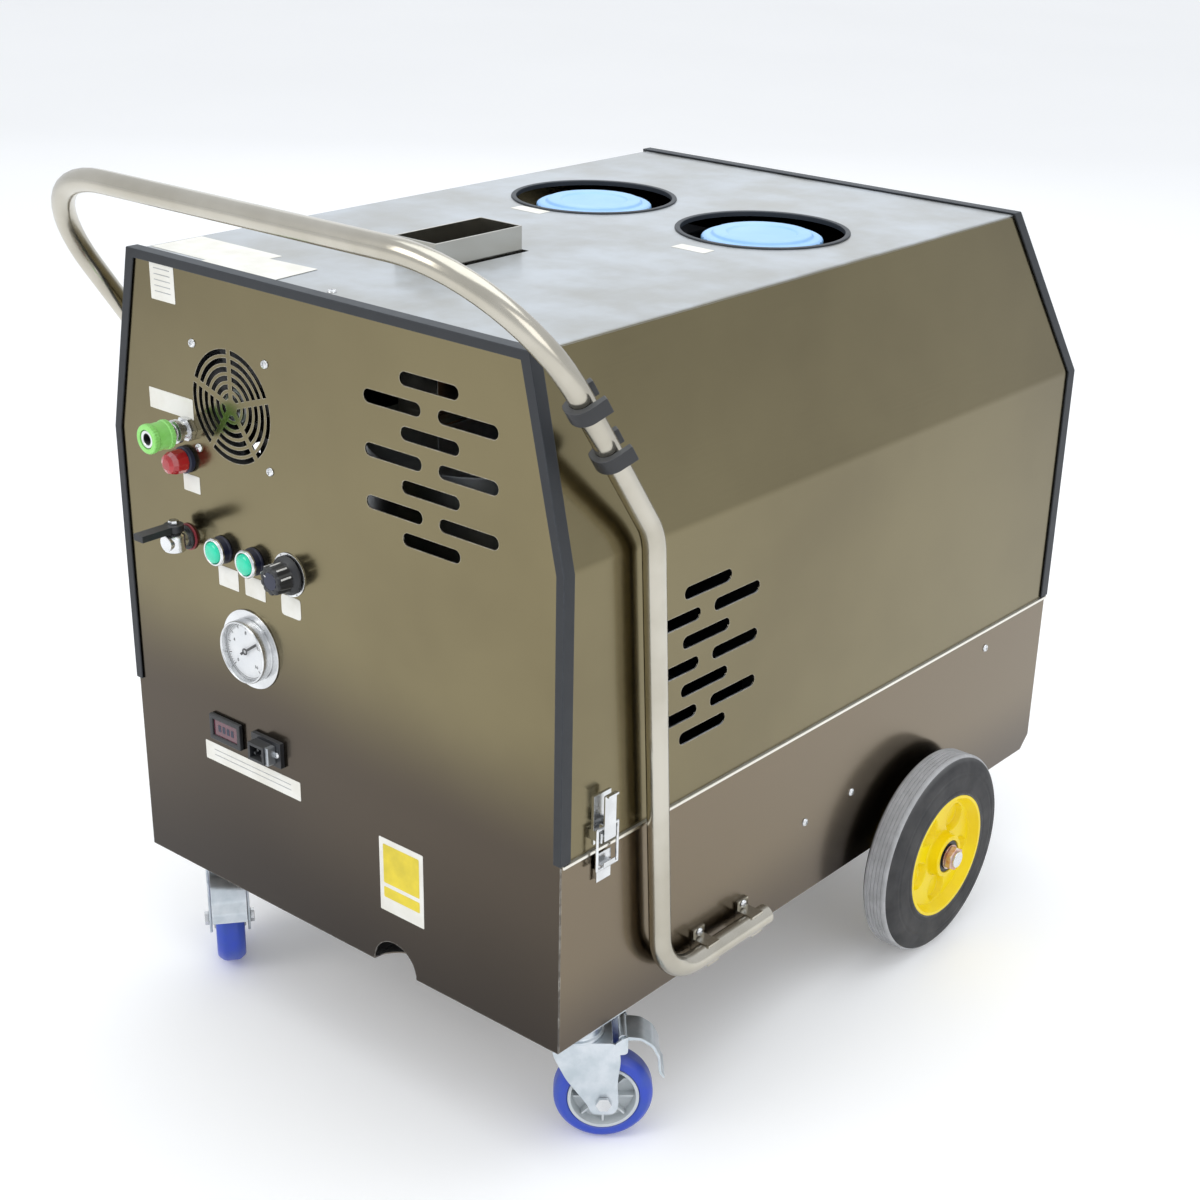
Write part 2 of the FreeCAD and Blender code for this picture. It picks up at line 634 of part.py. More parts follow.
def build_saddles():
    """Blocks that hold each foot of the handle against the tray's side."""
    saddles = []
    reach = p.tube_d / 2
    for i, sign in enumerate((-1, 1)):
        for j, y in enumerate(saddle_places()):
            wall, out = sign * (side + p.slip), sign * (handle_x + 6)
            low, high = (out, wall) if sign < 0 else (wall, out)
            base_low, base_high = (wall - 3, wall) if sign < 0 else (wall, wall + 3)
            lump = block(f"saddle_lump_{i}{j}", (low, high), (front + y - 9, front + y + 9),
                         (p.foot_z - reach - 1, p.foot_z + reach + 1))
            strap = block(f"saddle_strap_{i}{j}", (base_low, base_high), (front + y - 9, front + y + 9),
                          (p.foot_z - reach - 11, p.foot_z + reach + 11))
            groove = rod(f"saddle_groove_{i}{j}", reach, (sign * handle_x, front + y - 10, p.foot_z),
                         20, "y")
            holes = [rod(f"saddle_hole_{i}{j}{k}", 2.6,
                         (sign * side - 10, front + y, p.foot_z + dz * (reach + 6.2)), 20, "x")
                     for k, dz in enumerate((-1, 1))]
            saddles.append(cut(f"saddle_{i}{j}", fuse(f"saddle_solid_{i}{j}", lump, strap), groove, *holes))
    node("handle_saddles", group("handle_saddles_all", saddles))


def screw(name, head_r, head_high, shank, spot, way, axis):
    """A pan-head screw; `way` is the side its head is on."""
    x, y, z = spot
    step = {"x": (1, 0, 0), "y": (0, 1, 0), "z": (0, 0, 1)}[axis]
    head_from = [c + (0 if way > 0 else -head_high) * s for c, s in zip((x, y, z), step)]
    shank_from = [c + (-shank if way > 0 else 0) * s for c, s in zip((x, y, z), step)]
    return fuse(name, rod(name + "_head", head_r, head_from, head_high, axis),
                rod(name + "_shank", 2.5, shank_from, shank, axis))


def build_screws():
    """All the 5 mm pan-head screws of the cabinet."""
    screws = [screw(f"fan_screw_{i}", 4.5, 2.5, 12, (x, front, z), -1, "y")
              for i, (x, z) in enumerate(fan_screws())]
    screws += [screw(f"tray_screw_{i}", 4.5, 2.5, 8, (x, y, z), sign, "x")
               for i, (x, y, z, sign) in enumerate(side_screws())]
    screws += [screw(f"saddle_screw_{i}", 4.5, 3, 10, (x + sign * 3, y, z), sign, "x")
               for i, (x, y, z, sign) in enumerate(saddle_screws())]
    node("panel_screws", group("panel_screws_all", screws))


def build_clips():
    """Two plastic U clips pushed on the handle's right leg, with their mouths up and outward."""
    lean = FreeCAD.Vector(0, -(p.reach + p.bend_y).value, (p.bar_z - p.bend_z).value)
    ray = FreeCAD.Vector(lean)
    ray.normalize()
    foot = FreeCAD.Vector(handle_x.value, (front + p.bend_y).value, p.bend_z.value)
    shapes = []
    hold = p.tube_d.value / 2
    thick, wide, prong = p.clip_thick.value, p.clip_wide.value, hold + p.clip_prong.value
    # the clips are cut back where the hood's trim passes as the hood is lifted
    hood_path = Part.makeBox(40, 600, 600, FreeCAD.Vector(foot.x - hold - 2 - 40, foot.y - 400, foot.z - 100))
    for along in (100, 159):
        centre = FreeCAD.Vector(0, 0, 0)
        clip = Part.makeCylinder(hold + thick, wide, centre)
        clip = clip.cut(Part.makeBox(60, 80, wide + 2, FreeCAD.Vector(0, -40, -1)))
        for low in (hold, -hold - thick):
            clip = clip.fuse(Part.makeBox(prong, thick, wide, FreeCAD.Vector(0, low, 0)))
        clip = clip.cut(Part.makeCylinder(hold, wide, centre)).removeSplitter()
        clip.rotate(centre, FreeCAD.Vector(0, 0, 1), 62)
        leaning = FreeCAD.Placement(foot + ray * along, FreeCAD.Rotation(FreeCAD.Vector(0, 0, 1), ray))
        clip.Placement = leaning.multiply(clip.Placement)
        shapes.append(clip.cut(hood_path))
    clips = doc.addObject("Part::Feature", "lance_clip_pair")
    clips.Shape = Part.makeCompound(shapes)
    node("lance_clips", clips)


def build_rear_wheels():
    end = wheel_in + p.wheel_wide + 3
    length = (end + p.nut_wide) * 2
    shaft = rod("axle_shaft", p.axle_r, (-length / 2, axle_y, p.wheel_r), length, "x")
    collars = []
    for i, sign in enumerate((-1, 1)):
        nut_at = end + p.slip if sign > 0 else -end - p.slip - p.nut_wide
        stop_at = wheel_in - 9 if sign > 0 else -wheel_in + 5
        nut = rod(f"axle_nut_{i}", p.nut_r, (nut_at, axle_y, p.wheel_r), p.nut_wide, "x")
        stop = rod(f"axle_stop_{i}", p.nut_r, (stop_at, axle_y, p.wheel_r), 4, "x")
        collars += [nut, stop]
    node("rear_axle", fuse("axle_whole", shaft, *collars))
    for label, sign in (("l", -1), ("r", 1)):
        build_tyre(label, sign)
        build_disc(label, sign)


def build_tyre(label, sign):
    tyre = body(f"tyre_{label}")
    near, far = wheel_in, wheel_in + p.wheel_wide
    crown = p.wheel_r
    profile = [(near, p.disc_r + p.slip), (far, p.disc_r + p.slip), (far, crown - 22), (far - 3, crown - 9),
               (far - 9, crown), (near + 9, crown), (near + 3, crown - 9), (near, crown - 22)]
    turned = [(x * sign, r) for x, r in profile]
    revolve(tyre, sketch(tyre, "XZ_Plane", f"tyre_{label}_section", [turned]), f"tyre_{label}_turn", "X_Axis")
    place(tyre, 0, axle_y, p.wheel_r)
    node(f"rear_tyre_{label}", tyre)


def build_disc(label, sign):
    """A dished pressed disc with a hub tube that runs on the axle."""
    disc = body(f"disc_{label}")
    near, far = wheel_in, wheel_in + p.wheel_wide
    rim = p.disc_r
    bore = p.axle_r + 0.05
    profile = [(near, rim), (near, rim - 4), (far - 22, rim - 6), (far - 26, 24), (near - 1, 21),
               (near - 1, bore), (far + 3, bore), (far + 3, 17), (far - 13, 22), (far - 9, 40),
               (far - 6, rim - 14), (far - 4, rim - 5), (far, rim - 4), (far, rim)]
    turned = [(x * sign, r) for x, r in profile]
    revolve(disc, sketch(disc, "XZ_Plane", f"disc_{label}_section", [turned]), f"disc_{label}_turn", "X_Axis")
    place(disc, 0, axle_y, p.wheel_r)
    node(f"rear_disc_{label}", disc)


def build_casters():
    """Swivel casters in their own frame: swivel on Z, wheel trailing along +X, then turned and placed."""
    plates = []
    half = p.plate_side / 2
    for i, sign in enumerate((-1, 1)):
        plates.append(block(f"caster_plate_{i}", (sign * caster_x - half, sign * caster_x + half),
                            (caster_y - half, caster_y + half), (p.tray_low - p.plate_thick, p.tray_low)))
    node("caster_plates", group("caster_plates_pair", plates))
    for label, sign, turn in (("l", -1, -38), ("r", 1, 42)):
        spot = (sign * caster_x, caster_y, turn)
        build_fork(label, spot)
        build_caster_wheel(label, spot)
        build_pedal(label, spot)


def build_fork(label, spot):
    fork = body(f"fork_{label}")
    top = p.crown_z + p.fork_t
    side_view = [(-24, top), (-24, p.crown_z - 10), (p.caster_lead - 15, p.caster_r - 8),
                 (p.caster_lead - 8, p.caster_r - 15), (p.caster_lead + 8, p.caster_r - 15),
                 (p.caster_lead + 15, p.caster_r - 8), (p.caster_lead + 16, p.crown_z - 6),
                 (p.caster_lead + 8, top)]
    pad(fork, sketch(fork, "XZ_Plane", f"fork_{label}_side", [side_view]), p.fork_wide, f"fork_{label}_block")
    hollow = [(-60, p.crown_z), (-60, 0), (90, 0), (90, p.crown_z)]
    pocket(fork, sketch(fork, "XZ_Plane", f"fork_{label}_hollow", [hollow]), f"fork_{label}_inside",
           p.fork_wide - p.fork_t * 2)
    hole = sketch(fork, "XZ_Plane", f"fork_{label}_bolt_hole",
                  circles=[(p.caster_lead, p.caster_r, p.bolt_r)])
    pocket(fork, hole, f"fork_{label}_bolt_cut")
    raceway = rod(f"raceway_{label}", p.raceway_r, (0, 0, top), p.tray_low - p.plate_thick - p.slip - top)
    bolt_start = (p.caster_lead, -p.fork_wide / 2 - 4, p.caster_r)
    bolt = rod(f"caster_bolt_{label}", p.bolt_r, bolt_start, p.fork_wide + 8, "y")
    heads = [rod(f"caster_bolt_head_{label}{i}", 8.5, (p.caster_lead, y, p.caster_r), 5, "y")
             for i, y in enumerate((-p.fork_wide / 2 - 5, p.fork_wide / 2))]
    wall = p.fork_wide / 2
    ears = [block(f"pedal_ear_{label}{i}", (p.caster_lead + 10, p.pedal_x + 5), limits,
                  (p.crown_z - 10, p.pedal_z + 5))
            for i, limits in enumerate(((-wall, p.fork_t - wall), (wall - p.fork_t, wall)))]
    hinge = rod(f"pedal_pin_{label}", p.pedal_pin, (p.pedal_x, -wall, p.pedal_z), p.fork_wide, "y")
    frame = fuse(f"fork_frame_{label}", fork, raceway, hinge, *ears)
    pin = fuse(f"caster_pin_{label}", bolt, *heads)
    node(f"caster_fork_{label}", group(f"fork_whole_{label}", [frame, pin]), *spot)


def build_caster_wheel(label, spot):
    half = p.caster_wide / 2
    rim = p.caster_r - p.tread_thick
    tread = body(f"tread_{label}")
    tread_section = [(rim, -half), (p.caster_r - 5, -half), (p.caster_r, 5 - half), (p.caster_r, half - 5),
                     (p.caster_r - 5, half), (rim, half)]
    profile = sketch(tread, "XY_Plane", f"tread_{label}_section", [tread_section])
    revolve(tread, profile, f"tread_{label}_turn", "Y_Axis")
    core = body(f"core_{label}")
    bore = p.bolt_r + 0.05
    core_section = [(bore, -half - 2), (13, -half - 2), (14, -6), (rim - 6, -6), (rim - 4, 1 - half),
                    (rim - 0.1, 1 - half), (rim - 0.1, half - 1), (rim - 4, half - 1), (rim - 6, 6), (14, 6),
                    (13, half + 2), (bore, half + 2)]
    revolve(core, sketch(core, "XY_Plane", f"core_{label}_section", [core_section]), f"core_{label}_turn",
            "Y_Axis")
    for thing, name in ((tread, "caster_tread"), (core, "caster_core")):
        place(thing, 0, 0, p.caster_r)
        dx = p.caster_lead * math.cos(math.radians(spot[2]))
        dy = p.caster_lead * math.sin(math.radians(spot[2]))
        node(f"{name}_{label}", thing, spot[0] + dx, spot[1] + dy, spot[2])


def build_pedal(label, spot):
    """The brake pedal turns on a pin between the fork's two ears."""
    blade = body(f"pedal_{label}")
    x, z = p.pedal_x, p.pedal_z
    side_view = [(x, z - 2.5), (x + 17, z - 1.8), (x + 29, z - 10.5), (x + 35, z - 23), (x + 36, z - 40),
                 (x + 41.5, z - 47.5), (x + 43, z - 46), (x + 38.5, z - 39.5), (x + 37.5, z - 22),
                 (x + 31, z - 8), (x + 18, z + 1), (x, z + 2.5)]
    wide = p.fork_wide - p.fork_t * 2 - 1
    pad(blade, sketch(blade, "XZ_Plane", f"pedal_{label}_side", [side_view]), wide, f"pedal_{label}_pad")
    barrel = rod(f"pedal_barrel_{label}", 4.5, (x, -wide / 2, z), wide, "y")
    bore = rod(f"pedal_bore_{label}", p.pedal_pin + 0.05, (x, -wide, z), wide * 2, "y")
    solid = fuse(f"pedal_solid_{label}", blade, barrel)
    node(f"caster_pedal_{label}", cut(f"pedal_whole_{label}", solid, bore), *spot)


def build_latches():
    """Draw latches: base and lever on the hood, a wire bail, and the keeper on the tray."""
    bases, keepers = [], []
    y0, y1 = latch_y - p.latch_wide / 2, latch_y + p.latch_wide / 2
    for label, sign in (("l", -1), ("r", 1)):
        def span(low, high):
            low, high = size(low), size(high)
            return (side + low, side + high) if sign > 0 else (-(side + high), -(side + low))

        def pin_from(reach):
            return sign * (side + reach)
        plate = block(f"latch_plate_{label}", span(0, 1.5), (y0, y1), (p.pivot_z - 10, p.pivot_z + 40))
        ears = [block(f"latch_ear_{label}{i}", span(0, p.pivot_x + 3), (y, y + 1.5),
                      (p.pivot_z - 5, p.pivot_z + 5)) for i, y in enumerate((y0, y1 - 1.5))]
        pivot = rod(f"latch_pin_{label}", 1.5, (pin_from(p.pivot_x), y0, p.pivot_z), p.latch_wide, "y")
        bases.append(fuse(f"latch_base_{label}", plate, *ears, pivot))
        back_plate = block(f"keeper_plate_{label}", span(p.lip_out, p.lip_out + 1.5), (y0 + 2, y1 - 2),
                           (p.pivot_z + p.throw - p.bail_len - 16, p.seam - 5))
        spacer = block(f"keeper_spacer_{label}", span(0, p.lip_out), (y0 + 4, y1 - 4),
                       (p.pivot_z + p.throw - p.bail_len - 14, p.pivot_z + p.throw - p.bail_len - 4))
        shelf_z = p.pivot_z + p.throw - p.bail_len + p.wire_r + 0.1
        shelf = block(f"keeper_shelf_{label}", span(p.lip_out, p.pivot_x + 3.4), (y0 + 4, y1 - 4),
                      (shelf_z, shelf_z + 1.5))
        hook = block(f"keeper_hook_{label}", span(p.pivot_x + 2, p.pivot_x + 3.4), (y0 + 4, y1 - 4),
                     (shelf_z, shelf_z + 5))
        keepers.append(fuse(f"keeper_{label}", back_plate, spacer, shelf, hook))
        build_lever(label, span, pin_from, y0, y1)
        build_bail(label, sign, pin_from, y0, y1)
    node("latch_bases", group("latch_bases_pair", bases))
    node("latch_keepers", group("latch_keepers_pair", keepers))


def build_lever(label, span, pin_from, y0, y1):
    """The lever plate with a curled tip, turning on the base's pin."""
    inside = 1.8
    reach = p.pivot_x
    plate = block(f"lever_plate_{label}", span(reach + 1.8, reach + 3.4), (y0 + 4, y1 - 4),
                  (p.pivot_z - 5, p.pivot_z + 42))
    tip = block(f"lever_tip_{label}", span(reach + 2.6, reach + 7), (y0 + 5, y1 - 5),
                (p.pivot_z + 41, p.pivot_z + 43))
    cheeks = [block(f"lever_cheek_{label}{i}", span(reach - 3, reach + 3.4), (y, y + 1.5),
                    (p.pivot_z - 4, p.pivot_z + p.throw + 4))
              for i, y in enumerate((y0 + inside + 2, y1 - inside - 3.5))]
    hole = rod(f"lever_hole_{label}", 1.55, (pin_from(reach), y0, p.pivot_z), p.latch_wide, "y")
    bail_hole = rod(f"lever_bail_hole_{label}", p.wire_r + 0.05, (pin_from(reach), y0, p.pivot_z + p.throw),
                    p.latch_wide, "y")
    solid = fuse(f"lever_solid_{label}", plate, tip, *cheeks)
    node(f"latch_lever_{label}", cut(f"lever_{label}", solid, hole, bail_hole))


def build_bail(label, sign, pin_from, y0, y1):
    """A closed wire loop between the lever and the keeper."""
    top_z = p.pivot_z + p.throw
    low_z = top_z - p.bail_len
    x = pin_from(p.pivot_x)
    out = 2.4
    start, length = y0 - out, p.latch_wide + out * 2
    bars = [rod(f"bail_bar_{label}{i}", p.wire_r, (x, start, z), length, "y")
            for i, z in enumerate((top_z, low_z))]
    sides = [rod(f"bail_side_{label}{i}", p.wire_r, (x, y, low_z), p.bail_len)
             for i, y in enumerate((start, start + length))]
    knees = [ball(f"bail_knee_{label}{i}{j}", p.wire_r, (x, y, z))
             for i, y in enumerate((start, start + length)) for j, z in enumerate((top_z, low_z))]
    node(f"latch_bail_{label}", fuse(f"bail_{label}", *bars, *sides, *knees))


def ball(name, radius, centre):
    thing = doc.addObject("Part::Sphere", name)
    bind(thing, "Radius", radius)
    return place(thing, *centre)


def build_bezels():
    """Threaded bodies of the two buttons, and the knob's scale plate."""
    pieces = []
    for i, x in enumerate((p.button_x1, p.button_x2)):
        shell = rod(f"bezel_shell_{i}", p.bezel_r, (x, front - p.bezel_out, p.row_z), p.bezel_out, "y")
        stem = rod(f"bezel_stem_{i}", p.hole_r - 0.2, (x, front, p.row_z), 44, "y")
        bore = rod(f"bezel_bore_{i}", p.hole_r + 0.3, (x, front - p.bezel_out - 1, p.row_z), p.bezel_out, "y")
        pieces.append(cut(f"bezel_{i}", fuse(f"bezel_solid_{i}", shell, stem), bore))
    plate = rod("dial_disc", p.dial_r, (p.knob_x, front - 1.6, p.row_z), 1.6, "y")
    post = rod("dial_post", 4.9, (p.knob_x, front, p.row_z), 30, "y")
    tip = rod("dial_tip", 3, (p.knob_x, front - 12, p.row_z), 12, "y")
    pieces.append(fuse("dial_plate", plate, post, tip))
    node("control_bezels", group("control_bezels_all", pieces))


def build_controls():
    for label, x in (("start", p.button_x1), ("stop", p.button_x2)):
        cap = rod(f"cap_{label}", p.hole_r, (x, front - p.cap_out, p.row_z), p.cap_len, "y")
        node(f"button_{label}", cap)
    stem_y = front - p.valve_out
    boss = rod("lever_boss", 10, (p.lever_x, stem_y, p.row_z + 11), 7)
    arm = block("lever_arm", (p.lever_x - 7, p.lever_x + 7), (stem_y - p.lever_len, stem_y),
                (p.row_z + 11, p.row_z + 18))
    hole = rod("lever_stem_hole", 3.05, (p.lever_x, stem_y, p.row_z + 10), 9)
    node("valve_lever", cut("lever_whole", fuse("lever_solid", boss, arm), hole))
    skirt = rod("knob_skirt", p.knob_r + 4, (p.knob_x, front - 7, p.row_z), 4.5, "y")
    grip_round = cone("knob_grip", (p.knob_r - 2, p.knob_r), (p.knob_x, front - p.knob_out, p.row_z),
                      p.knob_out - 7, "y")
    flutes = []
    for i in range(8):
        turn = math.radians(45 * i + 22.5)
        reach = p.knob_r + 1.5
        flutes.append(rod(f"knob_flute_{i}", 4, (p.knob_x + reach * math.cos(turn), front - p.knob_out - 1,
                                                 p.row_z + reach * math.sin(turn)), p.knob_out - 8, "y"))
    bore = rod("knob_bore", 3.05, (p.knob_x, front - 12.1, p.row_z), 12, "y")
    node("pressure_knob", cut("knob_whole", fuse("knob_solid", skirt, grip_round), *flutes, bore))


def build_gauge():
    centre = (p.gauge_x, p.gauge_z)

    def turned(name, radius, y_from, length):
        return rod(name, radius, (centre[0], front + y_from, centre[1]), length, "y")
    shell = fuse("gauge_solid", turned("gauge_can", p.gauge_r, -p.gauge_out, p.gauge_out + 32),
                 turned("gauge_flange", p.flange_r, -2, 2), turned("gauge_stem", 7, 30, 20))
    recess = turned("gauge_recess", p.gauge_r - 3, -p.gauge_out - 1, 9)
    shaft = turned("gauge_shaft", 2, -p.gauge_out + 4.2, 6)
    node("gauge_case", fuse("gauge_with_shaft", cut("gauge_bored", shell, recess), shaft))
    node("gauge_lens", turned("gauge_glass", p.gauge_r - 3, -p.gauge_out + 0.5, 1.8))
    y0 = front - p.gauge_out + 4.4
    long_arm = turned_block("pointer_arm", (-8, 22), (0, 0.8), (-1.3, 1.3), (p.gauge_x, y0, p.gauge_z), -35)
    eye = rod("pointer_eye", 3.6, (p.gauge_x, y0, p.gauge_z), 0.8, "y")
    hole = rod("pointer_hole", 2.05, (p.gauge_x, y0 - 1, p.gauge_z), 3, "y")
    pointer = cut("pointer_whole", fuse("pointer_solid", long_arm, eye), hole)
    node("gauge_pointer", pointer)


def build_lamp_and_inlet():
    lamp_at = (p.lamp_x, front, p.lamp_z)
    dome = rod("lamp_dome", p.lamp_r - 1.5, (p.lamp_x, front - p.lamp_out, p.lamp_z), p.lamp_out - 6, "y")
    base = rod("lamp_base", p.lamp_r, (p.lamp_x, front - 6, p.lamp_z), 6, "y")
    stem = rod("lamp_stem", p.hole_r - 0.2, lamp_at, 30, "y")
    node("alarm_lamp", fuse("lamp_whole", dome, base, stem))
    x, z = p.inlet_x, p.inlet_z
    stem = rod("inlet_stem", p.stem_r, (x, front - p.inlet_out, z), p.inlet_out, "y")
    tail = rod("inlet_tail", p.tail_r, (x, front, z), 40, "y")
    nut = rod("inlet_nut", 13, (x, front - 8, z), 8, "y")
    shoulder = rod("inlet_shoulder", 12, (x, front - 20, z), 6, "y")
    bore = rod("inlet_bore", p.bore_r, (x, front - p.inlet_out - 1, z), 40, "y")
    inlet = cut("inlet_whole", fuse("inlet_solid", stem, tail, nut, shoulder), bore)
    valve_y = front - p.valve_out
    run = rod("valve_run", p.stem_r, (p.lever_x, valve_y - 12, p.row_z), p.valve_out + 42, "y")
    washer = rod("valve_washer", 14, (p.lever_x, front - 4, p.row_z), 4, "y")
    ball_house = rod("valve_house", 11, (p.lever_x, valve_y, p.row_z - 10), 18)
    spindle = rod("valve_spindle", 3, (p.lever_x, valve_y, p.row_z), 20)
    top_nut = rod("valve_top_nut", 5.5, (p.lever_x, valve_y, p.row_z + 18.2), 4.5)
    valve = fuse("valve_whole_body", run, washer, ball_house, spindle, top_nut)
    node("panel_fittings", group("panel_fittings_all", [inlet, valve]))
    node("inlet_sleeve", pipe("sleeve_ring", p.sleeve_r, p.stem_r + 0.3, (x, front - p.inlet_out - 1, z),
                              p.sleeve_len, "y"))


def build_meter_and_plug():
    half_w, half_h = p.meter_wid / 2, p.meter_high / 2
    frame = block("meter_bezel", (p.meter_x - half_w, p.meter_x + half_w), (front - 5, front),
                  (p.meter_z - half_h, p.meter_z + half_h))
    box = block("meter_box", (p.meter_x - half_w + 3.5, p.meter_x + half_w - 3.5), (front, front + 30),
                (p.meter_z - half_h + 3.5, p.meter_z + half_h - 3.5))
    window = block("meter_window", (p.meter_x - half_w + 5, p.meter_x + half_w - 5), (front - 6, front - 2),
                   (p.meter_z - half_h + 5, p.meter_z + half_h - 5))
    node("level_meter", cut("meter_whole", fuse("meter_solid", frame, box), window))
    base = block("plug_base", (p.plug_x - 22, p.plug_x + 22), (front - 5, front),
                 (p.plug_z - 14, p.plug_z + 14))
    rear_box = block("plug_box", (p.plug_x - 14.5, p.plug_x + 14.5), (front, front + 28),
                     (p.plug_z - 8.5, p.plug_z + 8.5))
    shroud = block("plug_shroud", (p.plug_x - 14, p.plug_x + 10), (front - 17, front - 5),
                   (p.plug_z - 10, p.plug_z + 10))
    well = block("plug_well", (p.plug_x - 11, p.plug_x + 7), (front - 18, front - 7),
                 (p.plug_z - 7, p.plug_z + 7))
    pins = [rod(f"plug_pin_{i}", 1.5, (p.plug_x - 2 + dx, front - 14, p.plug_z + dz), 10, "y")
            for i, (dx, dz) in enumerate(((-5, -2), (5, -2), (0, 3)))]
    bored = cut("plug_bored", fuse("plug_solid", base, rear_box, shroud), well)
    node("power_inlet", fuse("plug_whole", bored, *pins))


def build_boiler():
    x, y = p.boiler_x, p.boiler_y
    rail_top = floor_z + p.rail_high
    wall = 4
    shell = rod("boiler_can", p.boiler_r, (x, y, p.boiler_low), p.boiler_high - p.boiler_low)
    hollow = rod("boiler_hollow", p.boiler_r - wall, (x, y, p.boiler_low + wall),
                 p.boiler_high - p.boiler_low - wall * 2)
    skirt = pipe("boiler_skirt", p.boiler_r, p.boiler_r - wall, (x, y, rail_top), p.boiler_low - rail_top)
    smoke_box = block("smoke_box", (p.collar_x - p.collar_wid / 2 - 12, p.collar_x + p.collar_wid / 2 + 12),
                      (p.collar_y - p.collar_len / 2 - 12, p.collar_y + p.collar_len / 2 + 12),
                      (p.boiler_high, p.boiler_high + 30))
    flue = block("smoke_box_flue", (p.collar_x - p.collar_wid / 2 + 2, p.collar_x + p.collar_wid / 2 - 2),
                 (p.collar_y - p.collar_len / 2 + 2, p.collar_y + p.collar_len / 2 - 2),
                 (p.boiler_high - 5, p.boiler_high + 31))
    node("boiler_shell", cut("boiler_whole", fuse("boiler_solid", shell, skirt, smoke_box), hollow, flue))
    height = p.boiler_high - p.boiler_low - 60
    pitch = height / (p.coil_turns - 1)
    rings = [torus(f"coil_{i}", p.coil_r, p.coil_pipe, (x, y, p.boiler_low + 30 + pitch * i))
             for i in range(int(p.coil_turns.value))]
    risers = [rod(f"coil_riser_{i}", 5, (x + sign * p.coil_r, y, p.boiler_low + 30), height)
              for i, sign in enumerate((-1, 1))]
    feet = [rod(f"coil_foot_{i}", 5, (x + sign * p.coil_r, y, p.boiler_low + wall), 26)
            for i, sign in enumerate((-1, 1))]
    node("heating_coil", fuse("coil_whole", *rings, *risers, *feet))
    gun_x = x + p.boiler_r
    port = rod("burner_tube", 34, (gun_x, y, p.boiler_low + 60), 24, "x")
    fan_case = rod("burner_case", 62, (gun_x + 24, y, p.boiler_low + 60), 70, "x")
    motor = rod("burner_motor", 40, (gun_x + 94, y, p.boiler_low + 60), 48, "x")
    joint_cut = rod("burner_joint", p.boiler_r, (x, y, p.boiler_low - 10), 200)
    pads = block("burner_leg", (gun_x + 42, gun_x + 62), (y - 30, y + 30), (rail_top, p.boiler_low + 10))
    node("burner_blower", cut("burner_whole", fuse("burner_solid", port, fan_case, motor, pads), joint_cut))


def build_tanks():
    for name, sign in (("water", -1), ("fuel", 1)):
        centre_x = sign * p.filler_x
        low_x, high_x = ((-p.tank_wid - 6, size(-6)) if sign < 0 else (size(6), p.tank_wid + 6))
        y0, y1 = p.filler_y - p.tank_len / 2, p.filler_y + p.tank_len / 2
        shell = block(f"{name}_tank_box", (low_x, high_x), (y0, y1), (p.shelf_z + 4, p.tank_top - 53))
        shoulder = block(f"{name}_tank_top", (centre_x - 95, centre_x + 95), (y0 + 5, y1 - 5),
                         (p.tank_top - 53, p.tank_top))
        neck = rod(f"{name}_neck", p.neck_r, (centre_x, p.filler_y, p.tank_top), 16)
        throat = rod(f"{name}_throat", p.neck_r - 5, (centre_x, p.filler_y, p.tank_top - 60), 80)
        solid = fuse(f"{name}_tank_solid", shell, shoulder, neck)
        node(f"{name}_tank", cut(f"{name}_tank_whole", solid, throat))
        rim = pipe(f"{name}_cap_skirt", p.lid_r, p.neck_r + 1, (centre_x, p.filler_y, p.tank_top + 3), 15)
        disc = rod(f"{name}_cap_disc", p.lid_r, (centre_x, p.filler_y, p.tank_top + 16.3),
                   p.lid_top - p.tank_top - 18.3)
        crown = rod(f"{name}_cap_crown", p.lid_r - 9, (centre_x, p.filler_y, p.lid_top - 4), 4)
        node(f"{name}_cap", fuse(f"{name}_cap_whole", rim, disc, crown))


def build_pump():
    rail_top = floor_z + p.rail_high
    y = motor_y
    motor_z = rail_top + p.motor_r + 8
    can = rod("motor_can", p.motor_r, (-190, y, motor_z), 190, "x")
    foot = block("motor_foot", (-160, -30), (y - 62, y + 62), (rail_top, motor_z - p.motor_r + 6))
    node("pump_motor", fuse("motor_whole", can, foot))
    head = block("pump_block", (0, 120), (y - 50, y + 50), (rail_top, motor_z + 45))
    ports = [rod(f"pump_port_{i}", 12, (60, y + dy, motor_z + 45), 20) for i, dy in enumerate((-28, 28))]
    node("pump_head", fuse("pump_whole", head, *ports))


def build_steam_pipe():
    """From the top of the boiler to the safety valve, and the valve itself."""
    x, y = p.boiler_x + 70, p.boiler_y
    riser = rod("steam_riser", 9, (x, y, p.boiler_high), 60)
    knee = ball("steam_knee", 9, (x, y, p.boiler_high + 60))
    run = rod("steam_run", 9, (x, y, p.boiler_high + 60), 110, "x")
    node("steam_pipe", fuse("steam_pipe_whole", riser, knee, run))
    valve_x = x + 110
    valve = rod("valve_body", 16, (valve_x, y, p.boiler_high + 60), 34, "x")
    spring_can = rod("valve_can", 12, (valve_x + 17, y, p.boiler_high + 60), 56)
    node("safety_valve", fuse("valve_whole", valve, spring_can))


